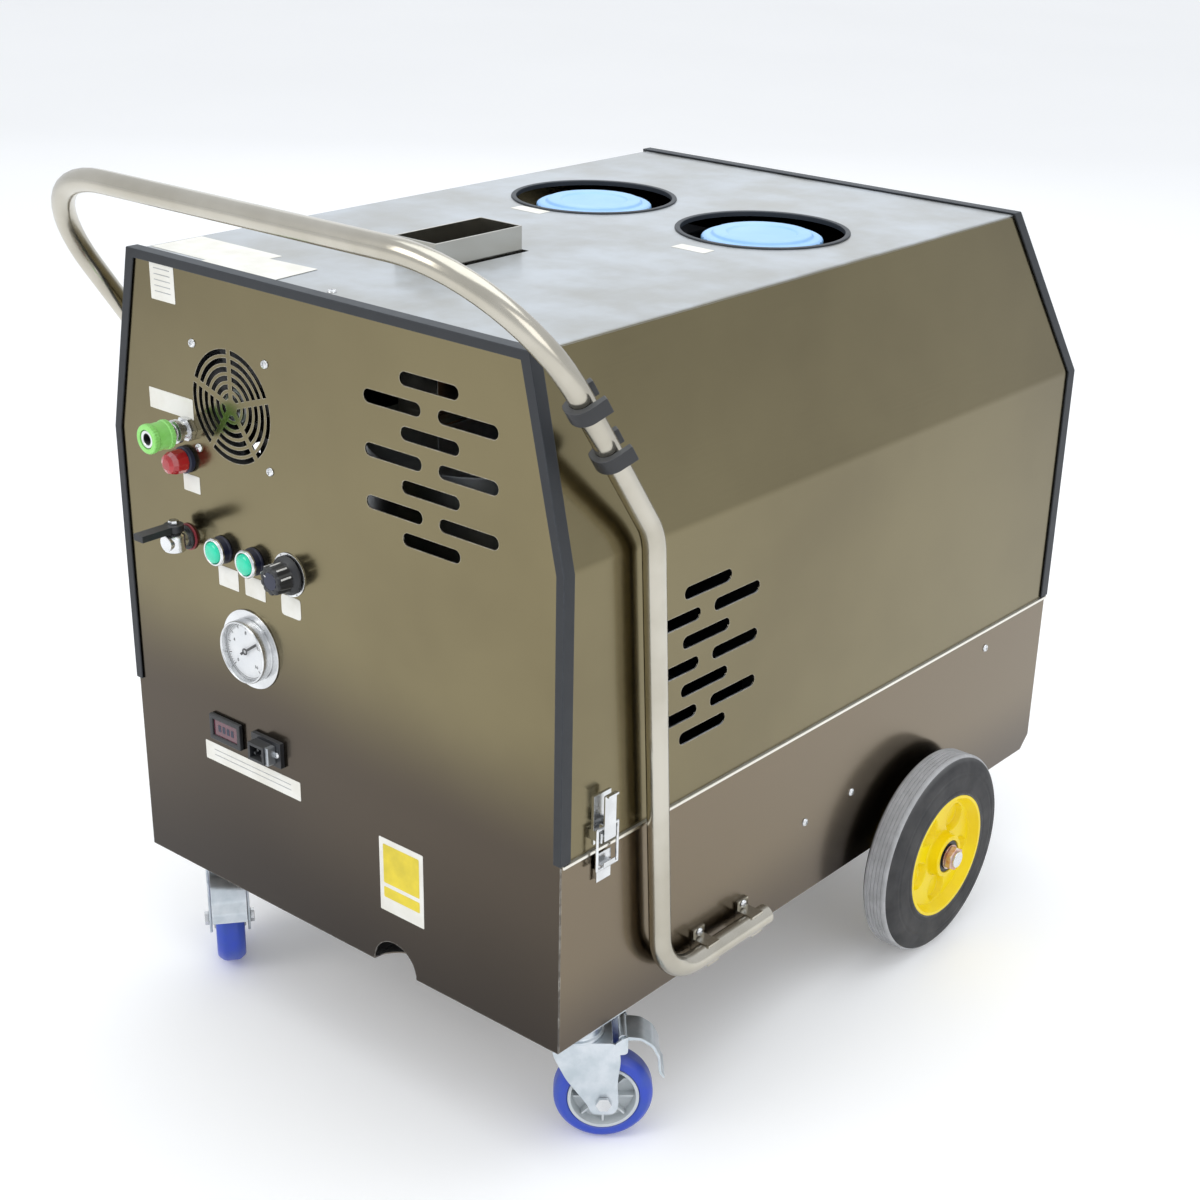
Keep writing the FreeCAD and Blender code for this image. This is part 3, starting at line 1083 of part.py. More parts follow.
def build_fan():
    half = p.fan_side / 2
    y0, y1 = back, back + p.fan_deep
    frame = block("fan_square", (p.fan_x - half, p.fan_x + half), (y0, y1), (p.fan_z - half, p.fan_z + half))
    duct = rod("fan_duct", half - 2.5, (p.fan_x, y0 - 1, p.fan_z), p.fan_deep + 2, "y")
    holes = [rod(f"fan_hole_{i}", 2.5, (x, y0, z), p.fan_deep, "y") for i, (x, z) in enumerate(fan_screws())]
    arms = [block(f"fan_arm_{i}", (p.fan_x - lx, p.fan_x + lx), (y1 - 4, y1), (p.fan_z - lz, p.fan_z + lz))
            for i, (lx, lz) in enumerate(((half - 1, 3), (3, half - 1)))]
    hub = rod("fan_motor", 18, (p.fan_x, y1 - 8, p.fan_z), 8, "y")
    node("fan_frame", fuse("fan_frame_whole", cut("fan_bored", frame, duct, *holes), *arms, hub))
    rotor_hub = rod("rotor_hub", 20, (p.fan_x, y0 + 5, p.fan_z), p.fan_deep - 15, "y")
    blades = [turned_block(f"rotor_blade_{i}", (-6, 6), (0, 14 - i % 2), (16, half - 6),
                           (p.fan_x, y0 + 7, p.fan_z), 360 / 7 * i) for i in range(7)]
    node("fan_impeller", fuse("rotor_whole", rotor_hub, *blades))


def build_control_box():
    """The relay box behind the row of controls, open where their bodies enter."""
    box = block("box_outer", (p.lever_x - 55, p.gauge_x - p.gauge_r - 12), (back + 46, back + 58),
                (p.row_z - 120, p.row_z + 45))
    rails = [block(f"box_rail_{i}", (p.lever_x - 60, p.lever_x - 50), (back, back + 46),
                   (p.row_z + dz, p.row_z + dz + 12)) for i, dz in enumerate((-110, 20))]
    node("relay_board", fuse("box_whole", box, *rails))


def check_and_write():
    doc.recompute()
    for thing in doc.Objects:
        if "Invalid" in thing.State or "Error" in thing.State:
            raise RuntimeError(f"{thing.Name} failed: {thing.State}")
    os.makedirs("parts", exist_ok=True)
    for label, thing in nodes.items():
        shape = thing.Shape
        if shape.isNull() or not shape.isValid() or shape.Volume <= 0:
            raise RuntimeError(f"{label} has no valid solid")
        shape.exportStep(f"parts/{label}.step")
    box = Part.makeCompound([thing.Shape for thing in nodes.values()]).BoundBox
    corners = (box.XMin, box.YMin, box.ZMin, box.XMax, box.YMax, box.ZMax)
    print(len(nodes), "nodes, box", [round(v, 2) for v in corners])


build_tray()
build_frame()
build_front_panel()
build_rear_panel()
build_hood()
build_trims()
build_filler_rings()
build_collar()
build_handle()
build_saddles()
build_screws()
build_clips()
build_rear_wheels()
build_casters()
build_latches()
build_bezels()
build_controls()
build_gauge()
build_lamp_and_inlet()
build_meter_and_plug()
build_boiler()
build_tanks()
build_pump()
build_steam_pipe()
build_fan()
build_control_box()
check_and_write()
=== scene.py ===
import json
import math

import bmesh
import bpy
from mathutils import Matrix, Vector

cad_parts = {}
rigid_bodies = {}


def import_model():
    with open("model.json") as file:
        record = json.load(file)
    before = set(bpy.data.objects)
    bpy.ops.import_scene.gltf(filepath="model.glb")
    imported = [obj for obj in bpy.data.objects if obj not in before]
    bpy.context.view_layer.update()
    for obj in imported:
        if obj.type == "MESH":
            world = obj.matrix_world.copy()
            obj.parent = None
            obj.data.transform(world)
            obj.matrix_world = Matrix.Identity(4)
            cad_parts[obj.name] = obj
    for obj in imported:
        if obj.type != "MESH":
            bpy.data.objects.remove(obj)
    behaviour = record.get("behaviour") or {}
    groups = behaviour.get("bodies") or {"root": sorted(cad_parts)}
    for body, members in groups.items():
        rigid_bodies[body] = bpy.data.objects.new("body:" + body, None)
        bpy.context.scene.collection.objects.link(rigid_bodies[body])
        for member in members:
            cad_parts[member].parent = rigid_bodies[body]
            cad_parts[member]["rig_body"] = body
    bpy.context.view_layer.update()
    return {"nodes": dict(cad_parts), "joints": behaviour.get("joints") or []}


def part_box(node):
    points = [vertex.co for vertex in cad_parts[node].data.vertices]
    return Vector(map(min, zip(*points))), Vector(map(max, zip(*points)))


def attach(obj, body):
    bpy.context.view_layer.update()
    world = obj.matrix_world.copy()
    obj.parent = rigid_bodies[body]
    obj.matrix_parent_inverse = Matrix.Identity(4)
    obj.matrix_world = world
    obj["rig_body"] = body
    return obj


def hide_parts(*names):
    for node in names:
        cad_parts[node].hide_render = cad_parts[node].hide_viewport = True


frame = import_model()
nodes = frame["nodes"]
joints = {joint["name"]: joint for joint in frame["joints"]}
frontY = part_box("front_panel")[0].y  # outer face of the control panel
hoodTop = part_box("hood_shell")[1].z
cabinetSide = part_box("hood_shell")[1].x
outward = Matrix.Rotation(math.radians(90), 4, "X")  # local x right, y up, z out of the control panel


def log(stage):
    print("stage:", stage, flush=True)


# Shader groups: masks and colours that several materials share.


def shaderGroup(name, inputs, outputs):
    group = bpy.data.node_groups.new(name, "ShaderNodeTree")
    for label, kind, value in inputs:
        socket = group.interface.new_socket(label, in_out="INPUT", socket_type=kind)
        socket.default_value = value
    for label, kind in outputs:
        group.interface.new_socket(label, in_out="OUTPUT", socket_type=kind)
    return group, group.nodes.new("NodeGroupInput"), group.nodes.new("NodeGroupOutput")


def mathNode(tree, operation, first, second=None, third=None, clamp=False):
    node = tree.nodes.new("ShaderNodeMath")
    node.operation = operation
    node.use_clamp = clamp
    for socket, value in zip(node.inputs, (first, second, third)):
        if isinstance(value, (int, float)):
            socket.default_value = value
        elif value is not None:
            tree.links.new(value, socket)
    return node.outputs[0]


def mixColour(tree, mask, first, second):
    node = tree.nodes.new("ShaderNodeMix")
    node.data_type = "RGBA"
    for index, value in ((0, mask), (6, first), (7, second)):
        if isinstance(value, (int, float, tuple)):
            node.inputs[index].default_value = value
        else:
            tree.links.new(value, node.inputs[index])
    return node.outputs[2]


def noiseNode(tree, vector, scale, detail=3.0, rough=0.55):
    node = tree.nodes.new("ShaderNodeTexNoise")
    node.inputs["Detail"].default_value = detail
    node.inputs["Roughness"].default_value = rough
    tree.links.new(vector, node.inputs["Vector"])
    if isinstance(scale, (int, float)):
        node.inputs["Scale"].default_value = scale
    else:
        tree.links.new(scale, node.inputs["Scale"])
    return node.outputs[0]


def spread(tree, value, low, high):
    node = tree.nodes.new("ShaderNodeMapRange")
    node.interpolation_type = "SMOOTHSTEP"
    tree.links.new(value, node.inputs["Value"])
    for label, number in (("From Min", low), ("From Max", high)):
        if isinstance(number, (int, float)):
            node.inputs[label].default_value = number
        else:
            tree.links.new(number, node.inputs[label])
    return node.outputs["Result"]


def objectPoint(tree):
    return tree.nodes.new("ShaderNodeTexCoord").outputs["Object"]


def buildEdgeWear():
    group, inside, out = shaderGroup("edgeWear", [("Width", "NodeSocketFloat", 0.0012),
                                                  ("Amount", "NodeSocketFloat", 0.5)],
                                     [("Mask", "NodeSocketFloat")])
    rounded = group.nodes.new("ShaderNodeBevel")
    rounded.samples = 4
    group.links.new(inside.outputs["Width"], rounded.inputs["Radius"])
    surface = group.nodes.new("ShaderNodeNewGeometry")
    turn = group.nodes.new("ShaderNodeVectorMath")
    turn.operation = "DOT_PRODUCT"
    group.links.new(rounded.outputs[0], turn.inputs[0])
    group.links.new(surface.outputs["Normal"], turn.inputs[1])
    bent = mathNode(group, "SUBTRACT", 1.0, turn.outputs["Value"])
    broken = spread(group, noiseNode(group, objectPoint(group), 140.0), 0.35, 0.65)
    edge = spread(group, bent, 0.02, 0.2)
    worn = mathNode(group, "MULTIPLY", edge, mathNode(group, "MULTIPLY_ADD", broken, 0.7, 0.3))
    group.links.new(mathNode(group, "MULTIPLY", worn, inside.outputs["Amount"], clamp=True),
                    out.inputs["Mask"])
    return group


def buildPatches():
    group, inside, out = shaderGroup("patchyColour", [("Colour", "NodeSocketColor", (0.5, 0.5, 0.5, 1)),
                                                      ("Shade", "NodeSocketColor", (0.4, 0.4, 0.4, 1)),
                                                      ("Scale", "NodeSocketFloat", 6.0)],
                                     [("Colour", "NodeSocketColor")])
    cloud = noiseNode(group, objectPoint(group), inside.outputs["Scale"], 5.0)
    mask = spread(group, cloud, 0.3, 0.72)
    group.links.new(mixColour(group, mask, inside.outputs["Colour"], inside.outputs["Shade"]),
                    out.inputs["Colour"])
    return group


def buildGrain():
    group, inside, out = shaderGroup("brushedGrain", [("Stretch", "NodeSocketVector", (400.0, 400.0, 8.0))],
                                     [("Mask", "NodeSocketFloat")])
    stretch = group.nodes.new("ShaderNodeVectorMath")
    stretch.operation = "MULTIPLY"
    group.links.new(objectPoint(group), stretch.inputs[0])
    group.links.new(inside.outputs["Stretch"], stretch.inputs[1])
    group.links.new(noiseNode(group, stretch.outputs[0], 1.0, 2.0), out.inputs["Mask"])
    return group


# Up-facing film: real dust, and on sheet steel also painted sheen through its pale bluish colour.
def buildDustAndSheen():
    group, inside, out = shaderGroup("settledDustAndSheen", [("Amount", "NodeSocketFloat", 0.2),
                                                     ("Scale", "NodeSocketFloat", 14.0)],
                                     [("Mask", "NodeSocketFloat")])
    surface = group.nodes.new("ShaderNodeNewGeometry")
    split = group.nodes.new("ShaderNodeSeparateXYZ")
    group.links.new(surface.outputs["Normal"], split.inputs[0])
    lying = spread(group, split.outputs["Z"], 0.35, 1.0)
    cloud = spread(group, noiseNode(group, objectPoint(group), inside.outputs["Scale"], 6.0), 0.2, 0.8)
    film = mathNode(group, "MULTIPLY", lying, mathNode(group, "MULTIPLY_ADD", cloud, 0.5, 0.5))
    group.links.new(mathNode(group, "MULTIPLY", film, inside.outputs["Amount"], clamp=True),
                    out.inputs["Mask"])
    return group


# Darkens a surface below a given height: painted shade.
def buildPaintedShadeByHeight():
    group, inside, out = shaderGroup("paintedShadeByHeight",
                                     [("Low", "NodeSocketFloat", 0.2), ("High", "NodeSocketFloat", 0.4),
                                      ("Waviness", "NodeSocketFloat", 0.08)], [("Mask", "NodeSocketFloat")])
    split = group.nodes.new("ShaderNodeSeparateXYZ")
    point = objectPoint(group)
    group.links.new(point, split.inputs[0])
    wave = mathNode(group, "SUBTRACT", noiseNode(group, point, 2.6, 1.0), 0.5)
    height = mathNode(group, "MULTIPLY_ADD", wave, inside.outputs["Waviness"], split.outputs["Z"])
    mask = spread(group, height, inside.outputs["Low"], inside.outputs["High"])
    group.links.new(mathNode(group, "SUBTRACT", 1.0, mask), out.inputs["Mask"])
    return group


groups = {"edge": buildEdgeWear(), "patch": buildPatches(), "grain": buildGrain(), "dust": buildDustAndSheen(),
          "paintedShade": buildPaintedShadeByHeight()}


def placed(tree, key, **values):
    node = tree.nodes.new("ShaderNodeGroup")
    node.node_tree = groups[key]
    for label, value in values.items():
        node.inputs[label].default_value = value
    return node


def tone(colour):
    return (*colour, 1.0)


plainLook = {"shade": None, "patches": 7.0, "metallic": 0.0, "rough": 0.5, "roughSpread": 0.12,
             "grain": (60.0, 60.0, 60.0), "grainDepth": 0.0, "pebble": 0.0, "pebbleScale": 900.0,
             "wear": 0.25, "wearWidth": 0.0012, "wearColour": (0.6, 0.6, 0.6), "dust": 0.12,
             "dustColour": (0.62, 0.63, 0.62), "paintedShade": None, "fixed": {}}


def finish(name, colour, **changes):
    look = {**plainLook, **changes}
    material = bpy.data.materials.new(name)
    material.use_nodes = True
    tree = material.node_tree
    shader = tree.nodes["Principled BSDF"]
    shade = look["shade"] or tuple(c * 0.8 for c in colour)
    patch = placed(tree, "patch", Colour=tone(colour), Shade=tone(shade), Scale=look["patches"])
    edge = placed(tree, "edge", Width=look["wearWidth"], Amount=look["wear"])
    dust = placed(tree, "dust", Amount=look["dust"])
    grain = placed(tree, "grain", Stretch=look["grain"])
    base = patch.outputs["Colour"]
    # Height bands: painted shade, darker towards the bottom.
    for low, high, paintedShadeColour, waviness in look["paintedShade"] or ():
        paintedShade = placed(tree, "paintedShade", Low=low, High=high, Waviness=waviness)
        base = mixColour(tree, paintedShade.outputs["Mask"], base, tone(paintedShadeColour))
    base = mixColour(tree, edge.outputs["Mask"], base, tone(look["wearColour"]))
    # Up-facing film mixed in: dust, and on sheet steel painted sheen.
    base = mixColour(tree, dust.outputs["Mask"], base, tone(look["dustColour"]))
    tree.links.new(base, shader.inputs["Base Color"])
    rough = mathNode(tree, "MULTIPLY_ADD", grain.outputs["Mask"], look["roughSpread"],
                     look["rough"] - look["roughSpread"] / 2)
    rough = mathNode(tree, "MULTIPLY_ADD", dust.outputs["Mask"], 0.4, rough, clamp=True)
    tree.links.new(rough, shader.inputs["Roughness"])
    if look["metallic"] > 0 and look["dust"] > 0:
        bare = mathNode(tree, "SUBTRACT", 1.0, dust.outputs["Mask"])
        tree.links.new(mathNode(tree, "MULTIPLY", bare, look["metallic"]), shader.inputs["Metallic"])
    else:
        shader.inputs["Metallic"].default_value = look["metallic"]
    if look["grainDepth"] or look["pebble"]:
        bump = tree.nodes.new("ShaderNodeBump")
        bump.inputs["Distance"].default_value = 0.001
        bump.inputs["Strength"].default_value = 1.0
        pebbles = noiseNode(tree, objectPoint(tree), look["pebbleScale"], 2.0)
        height = mathNode(tree, "MULTIPLY", pebbles, look["pebble"])
        height = mathNode(tree, "MULTIPLY_ADD", grain.outputs["Mask"], look["grainDepth"], height)
        tree.links.new(height, bump.inputs["Height"])
        tree.links.new(bump.outputs[0], shader.inputs["Normal"])
    for label, value in look["fixed"].items():
        shader.inputs[label].default_value = value
    return material


# lower and paintedReflectionBand are painted dark reflection for the lower control panel; topDustAndSheen is
# a pale bluish up-facing film, partly dust and partly painted sheen.
steel = {"colour": (0.205, 0.172, 0.092), "shade": (0.160, 0.132, 0.070), "lower": (0.078, 0.061, 0.044),
         "paintedReflectionBand": (0.036, 0.028, 0.022), "topDustAndSheen": (0.58, 0.64, 0.72)}
acrossGrain = {"grain": (9.0, 700.0, 700.0), "grainDepth": 0.004}
alongGrain = {"grain": (700.0, 9.0, 700.0), "grainDepth": 0.004}
# Sheet steel's up-facing film uses a pale bluish colour: partly dust, partly painted sheen.
sheetSteel = {"metallic": 1.0, "rough": 0.2, "roughSpread": 0.08, "patches": 2.2, "wear": 0.7,
              "wearWidth": 0.0016, "wearColour": (0.62, 0.60, 0.55), "dustColour": steel["topDustAndSheen"],
              "fixed": {"Coat Weight": 0.2, "Coat Roughness": 0.1}}
bright = {"metallic": 1.0, "rough": 0.24, "roughSpread": 0.16, "patches": 30.0, "wear": 0.4,
          "wearColour": (0.9, 0.9, 0.9), "dust": 0.05, "grain": (300.0, 300.0, 300.0)}
moulded = {"rough": 0.42, "pebble": 0.05, "patches": 22.0, "wear": 0.35}

# The control panel's height bands are painted dark reflection, darker towards the bottom.
finishes = {"panelSteel": finish("panelSteel", steel["colour"],
                                 **{**sheetSteel, **acrossGrain, "shade": steel["shade"], "dust": 0.25,
                                    "paintedShade": [(0.35, 0.49, steel["lower"], 0.10),
                                             (0.13, 0.36, steel["paintedReflectionBand"], 0.18)]}),
            # The hood's heavy up-facing film makes its top pale bluish: partly dust, partly painted sheen.
            "hoodSteel": finish("hoodSteel", steel["colour"],
                                **{**sheetSteel, **alongGrain, "shade": steel["shade"], "dust": 0.7}),
            # The tray's near-white colour above z 0.348 is a painted highlight on its lip; below it the
            # height bands are painted shade, darker towards the bottom.
            "traySteel": finish("traySteel", (0.85, 0.82, 0.74),
                                **{**sheetSteel, **alongGrain, "shade": (0.75, 0.72, 0.64), "dust": 0.3,
                                   "paintedShade": [(0.3470, 0.3480, (0.190, 0.150, 0.100), 0.0),
                                            (0.14, 0.25, (0.105, 0.083, 0.062), 0.06)]}),
            "collarSteel": finish("collarSteel", (0.66, 0.64, 0.58),
                                  **{**sheetSteel, **alongGrain, "dust": 0.1}),
            "tubeSteel": finish("tubeSteel", (0.56, 0.53, 0.46), metallic=1.0, rough=0.2, roughSpread=0.06,
                                patches=9.0, shade=(0.44, 0.41, 0.34), wear=0.1, wearColour=(0.8, 0.8, 0.8),
                                dust=0.1, grain=(160.0, 160.0, 160.0)),
            "brightSteel": finish("brightSteel", (0.78, 0.79, 0.80), **bright),
            "zincPlate": finish("zincPlate", (0.66, 0.70, 0.74),
                                **{**bright, "rough": 0.33, "patches": 45.0, "shade": (0.50, 0.56, 0.60),
                                   "wear": 0.5, "dust": 0.15}),
            "blackPlastic": finish("blackPlastic", (0.016, 0.017, 0.020), wearColour=(0.12, 0.12, 0.13),
                                   **moulded | {"wear": 0.5}),
            "edgeRubber": finish("edgeRubber", (0.013, 0.016, 0.021), rough=0.5, pebble=0.08,
                                 pebbleScale=600.0, wear=0.6, wearColour=(0.085, 0.10, 0.12),
                                 wearWidth=0.002, dust=0.25, dustColour=(0.16, 0.18, 0.2)),
            "treadRubber": finish("treadRubber", (0.022, 0.022, 0.024), rough=0.72, roughSpread=0.2,
                                  pebble=0.12, pebbleScale=420.0, wear=0.6, wearWidth=0.005,
                                  wearColour=(0.26, 0.26, 0.26), dust=0.5, patches=26.0,
                                  shade=(0.050, 0.049, 0.050), dustColour=(0.34, 0.34, 0.34)),
            "wornTread": finish("wornTread", (0.34, 0.34, 0.345), shade=(0.44, 0.44, 0.45), rough=0.8,
                                roughSpread=0.2, pebble=0.15, pebbleScale=500.0, patches=60.0, wear=0.5,
                                wearWidth=0.002, wearColour=(0.55, 0.55, 0.56), dust=0.4,
                                dustColour=(0.52, 0.52, 0.53)),
            "rustyNut": finish("rustyNut", (0.55, 0.24, 0.15), metallic=0.8, rough=0.35, roughSpread=0.2,
                               patches=160.0, shade=(0.70, 0.62, 0.58), wear=0.6,
                               wearColour=(0.85, 0.8, 0.78), dust=0.05),
            "wheelYellow": finish("wheelYellow", (0.88, 0.70, 0.004), shade=(0.84, 0.62, 0.003), rough=0.32,
                                  patches=18.0, wear=0.3, wearColour=(0.95, 0.86, 0.25), dust=0.0,
                                  pebble=0.03, pebbleScale=300.0, fixed={"Specular IOR Level": 0.3}),
            "polyurethane": finish("polyurethane", (0.022, 0.060, 0.50), shade=(0.030, 0.075, 0.42),
                                   rough=0.35, wear=0.4, wearWidth=0.003, wearColour=(0.12, 0.16, 0.55),
                                   dust=0.18, patches=40.0, pebble=0.04),
            "nylon": finish("nylon", (0.62, 0.65, 0.66), shade=(0.52, 0.56, 0.58), rough=0.45, pebble=0.04,
                            dust=0.15, wear=0.3, wearColour=(0.8, 0.8, 0.8)),
            "lidBlue": finish("lidBlue", (0.22, 0.46, 0.80), shade=(0.28, 0.54, 0.86), rough=0.42,
                              pebble=0.05, wear=0.4, wearColour=(0.45, 0.62, 0.9), dust=0.35,
                              dustColour=(0.55, 0.70, 0.90)),
            "tankBlack": finish("tankBlack", (0.018, 0.020, 0.026), rough=0.45, pebble=0.08,
                                pebbleScale=250.0, dust=0.12, wear=0.4, wearColour=(0.10, 0.11, 0.13),
                                dustColour=(0.2, 0.22, 0.26)),
            "galvanised": finish("galvanised", (0.52, 0.54, 0.56), metallic=1.0, rough=0.42,
                                 roughSpread=0.25, patches=34.0, shade=(0.40, 0.43, 0.46), dust=0.25,
                                 wear=0.3, wearColour=(0.75, 0.76, 0.78)),
            "framePaint": finish("framePaint", (0.06, 0.065, 0.072), rough=0.5, pebble=0.08, wear=0.8,
                                 wearColour=(0.32, 0.31, 0.30), dust=0.3),
            "burnerRed": finish("burnerRed", (0.36, 0.03, 0.02), rough=0.38, wear=0.6,
                                wearColour=(0.45, 0.40, 0.38), pebble=0.05),
            "motorBlue": finish("motorBlue", (0.035, 0.09, 0.22), rough=0.4, wear=0.6,
                                wearColour=(0.35, 0.36, 0.38), pebble=0.06),
            "brassCast": finish("brassCast", (0.62, 0.44, 0.16), metallic=1.0, rough=0.36, roughSpread=0.2,
                                patches=25.0, wear=0.5, wearColour=(0.85, 0.7, 0.35)),
            "copperTube": finish("copperTube", (0.62, 0.30, 0.16), metallic=1.0, rough=0.32,
                                 roughSpread=0.2, patches=12.0, shade=(0.36, 0.17, 0.10), wear=0.3,
                                 wearColour=(0.8, 0.5, 0.35)),
            "anodisedGreen": finish("anodisedGreen", (0.24, 0.66, 0.13), shade=(0.30, 0.74, 0.20),
                                    rough=0.3, wear=0.5, wearColour=(0.65, 0.9, 0.55), dust=0.1,
                                    patches=60.0),
            "dialWhite": finish("dialWhite", (0.80, 0.81, 0.82), rough=0.4, dust=0.0, wear=0.0,
                                patches=60.0, shade=(0.74, 0.76, 0.78)),
            "markWhite": finish("markWhite", (0.82, 0.82, 0.80), rough=0.5, dust=0.0, wear=0.0,
                                patches=90.0), "markBlack": finish("markBlack", (0.012, 0.012, 0.014),
                                                                   rough=0.5, dust=0.0, wear=0.0,
                                                                   patches=90.0),
            "labelPaper": finish("labelPaper", (0.80, 0.79, 0.74), shade=(0.72, 0.70, 0.63), rough=0.55,
                                 dust=0.0, wear=0.4, wearColour=(0.5, 0.47, 0.4), patches=34.0),
            "labelYellow": finish("labelYellow", (0.78, 0.62, 0.03), rough=0.5, dust=0.0, wear=0.2,
                                  patches=40.0), "labelInk": finish("labelInk", (0.44, 0.45, 0.45),
                                                                    rough=0.6, dust=0.0, wear=0.0,
                                                                    patches=120.0),
            "darkBlue": finish("darkBlue", (0.012, 0.016, 0.045), rough=0.35, wear=0.5,
                               wearColour=(0.10, 0.11, 0.2), dust=0.05),
            "washerRed": finish("washerRed", (0.30, 0.035, 0.05), rough=0.4, wear=0.3,
                                wearColour=(0.6, 0.3, 0.3)), }


def lensFinish(name, colour, glow, rough=0.12):
    return finish(name, colour, rough=rough, roughSpread=0.06, patches=80.0, wear=0.25, dust=0.0,
                      wearColour=tuple(min(1.0, c + 0.3) for c in colour),
                      fixed={"Coat Weight": 0.6, "Coat Roughness": 0.04, "Emission Strength": glow,
                             "Emission Color": tone(colour)})


# Emission on the push-button lenses is a painted glow.
finishes["lensTeal"] = lensFinish("lensTeal", (0.0, 0.55, 0.33), 0.25)
finishes["lensRed"] = lensFinish("lensRed", (0.42, 0.006, 0.012), 0.05, 0.08)
# Emission on the unlit meter window is a painted glow.
finishes["windowRed"] = lensFinish("windowRed", (0.10, 0.018, 0.035), 0.1, 0.1)


def glassFinish():
    material = bpy.data.materials.new("gaugeGlass")
    material.use_nodes = True
    tree = material.node_tree
    tree.nodes.remove(tree.nodes["Principled BSDF"])
    clear = tree.nodes.new("ShaderNodeBsdfTransparent")
    gloss = tree.nodes.new("ShaderNodeBsdfGlossy")
    gloss.inputs["Roughness"].default_value = 0.03
    fresnel = tree.nodes.new("ShaderNodeFresnel")
    fresnel.inputs["IOR"].default_value = 1.45
    side = tree.nodes.new("ShaderNodeNewGeometry")
    front = mathNode(tree, "SUBTRACT", 1.0, side.outputs["Backfacing"])
    blend = tree.nodes.new("ShaderNodeMixShader")
    tree.links.new(mathNode(tree, "MULTIPLY", fresnel.outputs[0], front), blend.inputs[0])
    tree.links.new(clear.outputs[0], blend.inputs[1])
    tree.links.new(gloss.outputs[0], blend.inputs[2])
    tree.links.new(blend.outputs[0], tree.nodes["Material Output"].inputs["Surface"])
    return material


finishes["gaugeGlass"] = glassFinish()
log("finishes")

# Mesh helpers: outlines, turned and flat shapes, and the pieces made from them.


def toMesh(shape, name="shape"):
    mesh = bpy.data.meshes.new(name)
    shape.to_mesh(mesh)
    shape.free()
    return mesh


def softCorners(points, reach, steps=3, closed=True):
    made = []
    count = len(points)
    for i, point in enumerate(points):
        here = Vector(point)
        if not closed and i in (0, count - 1):
            made.append(here)
            continue
        before = Vector(points[i - 1]) - here
        after = Vector(points[(i + 1) % count]) - here
        start = here + before.normalized() * min(reach, before.length * 0.45)
        end = here + after.normalized() * min(reach, after.length * 0.45)
        for step in range(steps + 1):
            t = step / steps
            made.append(start * (1 - t) ** 2 + here * (2 * t * (1 - t)) + end * t ** 2)
    return made


def lathe(profile, steps=64, closed=True, change=None):
    shape = bmesh.new()
    rings = []
    for radius, height in profile:
        ring = []
        for i in range(steps if radius > 1e-6 else 1):
            turn = 2 * math.pi * i / steps
            r, z = change(radius, height, turn) if change else (radius, height)
            ring.append(shape.verts.new((r * math.cos(turn), r * math.sin(turn), z)))
        rings.append(ring)
    pairs = list(zip(rings, rings[1:]))
    if closed:
        pairs.append((rings[-1], rings[0]))
    for first, second in pairs:
        for i in range(steps):
            j = (i + 1) % steps
            corners = []
            for corner in (first[i % len(first)], first[j % len(first)], second[j % len(second)],
                           second[i % len(second)]):
                if corner not in corners:
                    corners.append(corner)
            if len(corners) > 2:
                shape.faces.new(corners)
    bmesh.ops.recalc_face_normals(shape, faces=shape.faces)
    return toMesh(shape)


def turned(points, reach, bends, steps, closed=True, change=None):
    return lathe(softCorners(points, reach, bends, closed), steps, closed, change)


def bevelSharp(shape, width, segments=2, angle=30.0):
    edges = [e for e in shape.edges if len(e.link_faces) == 2 and e.calc_face_angle() > math.radians(angle)]
    if width and edges:
        bmesh.ops.bevel(shape, geom=edges, offset=width, segments=segments, profile=0.5, affect="EDGES",
                        clamp_overlap=True)


def slab(outline, depth, bevel=0.0005, segments=2):
    shape = bmesh.new()
    face = shape.faces.new([shape.verts.new((p[0], p[1], 0)) for p in outline])
    raised = bmesh.ops.extrude_face_region(shape, geom=[face])
    lifted = [item for item in raised["geom"] if isinstance(item, bmesh.types.BMVert)]
    bmesh.ops.translate(shape, verts=lifted, vec=(0, 0, depth))
    bmesh.ops.recalc_face_normals(shape, faces=shape.faces)
    bevelSharp(shape, bevel, segments, 40.0)
    return toMesh(shape)


def rectangle(wide, high, corner=0.0, steps=4):
    points = [(-wide / 2, -high / 2), (wide / 2, -high / 2), (wide / 2, high / 2), (-wide / 2, high / 2)]
    return softCorners(points, corner, steps) if corner else points


def polygon(sides, radius):
    return [(radius * math.cos(2 * math.pi * i / sides), radius * math.sin(2 * math.pi * i / sides))
            for i in range(sides)]


def moved(mesh, matrix):
    mesh.transform(matrix)
    return mesh


def joined(*meshes):
    shape = bmesh.new()
    for mesh in meshes:
        shape.from_mesh(mesh)
    return toMesh(shape)


def onPanel(x, z, out=0.0):
    return Matrix.Translation((x, frontY - out, z)) @ outward


def along(where, axis):
    return Matrix.Translation(where) @ Vector((0, 0,
                                               1)).rotation_difference(Vector(axis)).to_matrix().to_4x4()


def middle(node):
    low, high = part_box(node)
    return (low + high) / 2


def evaluated(thing):
    depsgraph = bpy.context.evaluated_depsgraph_get()
    mesh = bpy.data.meshes.new_from_object(thing.evaluated_get(depsgraph))
    bpy.data.objects.remove(thing)
    return mesh


def loose(name, data):
    thing = bpy.data.objects.new(name, data)
    bpy.context.scene.collection.objects.link(thing)
    return thing


def shaded(mesh, angle=32.0):
    for face in mesh.polygons:
        face.use_smooth = True
    mesh.set_sharp_from_angle(angle=math.radians(angle))
    thing = loose("shading", mesh)
    weigh = thing.modifiers.new("weigh", "WEIGHTED_NORMAL")
    weigh.keep_sharp = True
    return evaluated(thing)


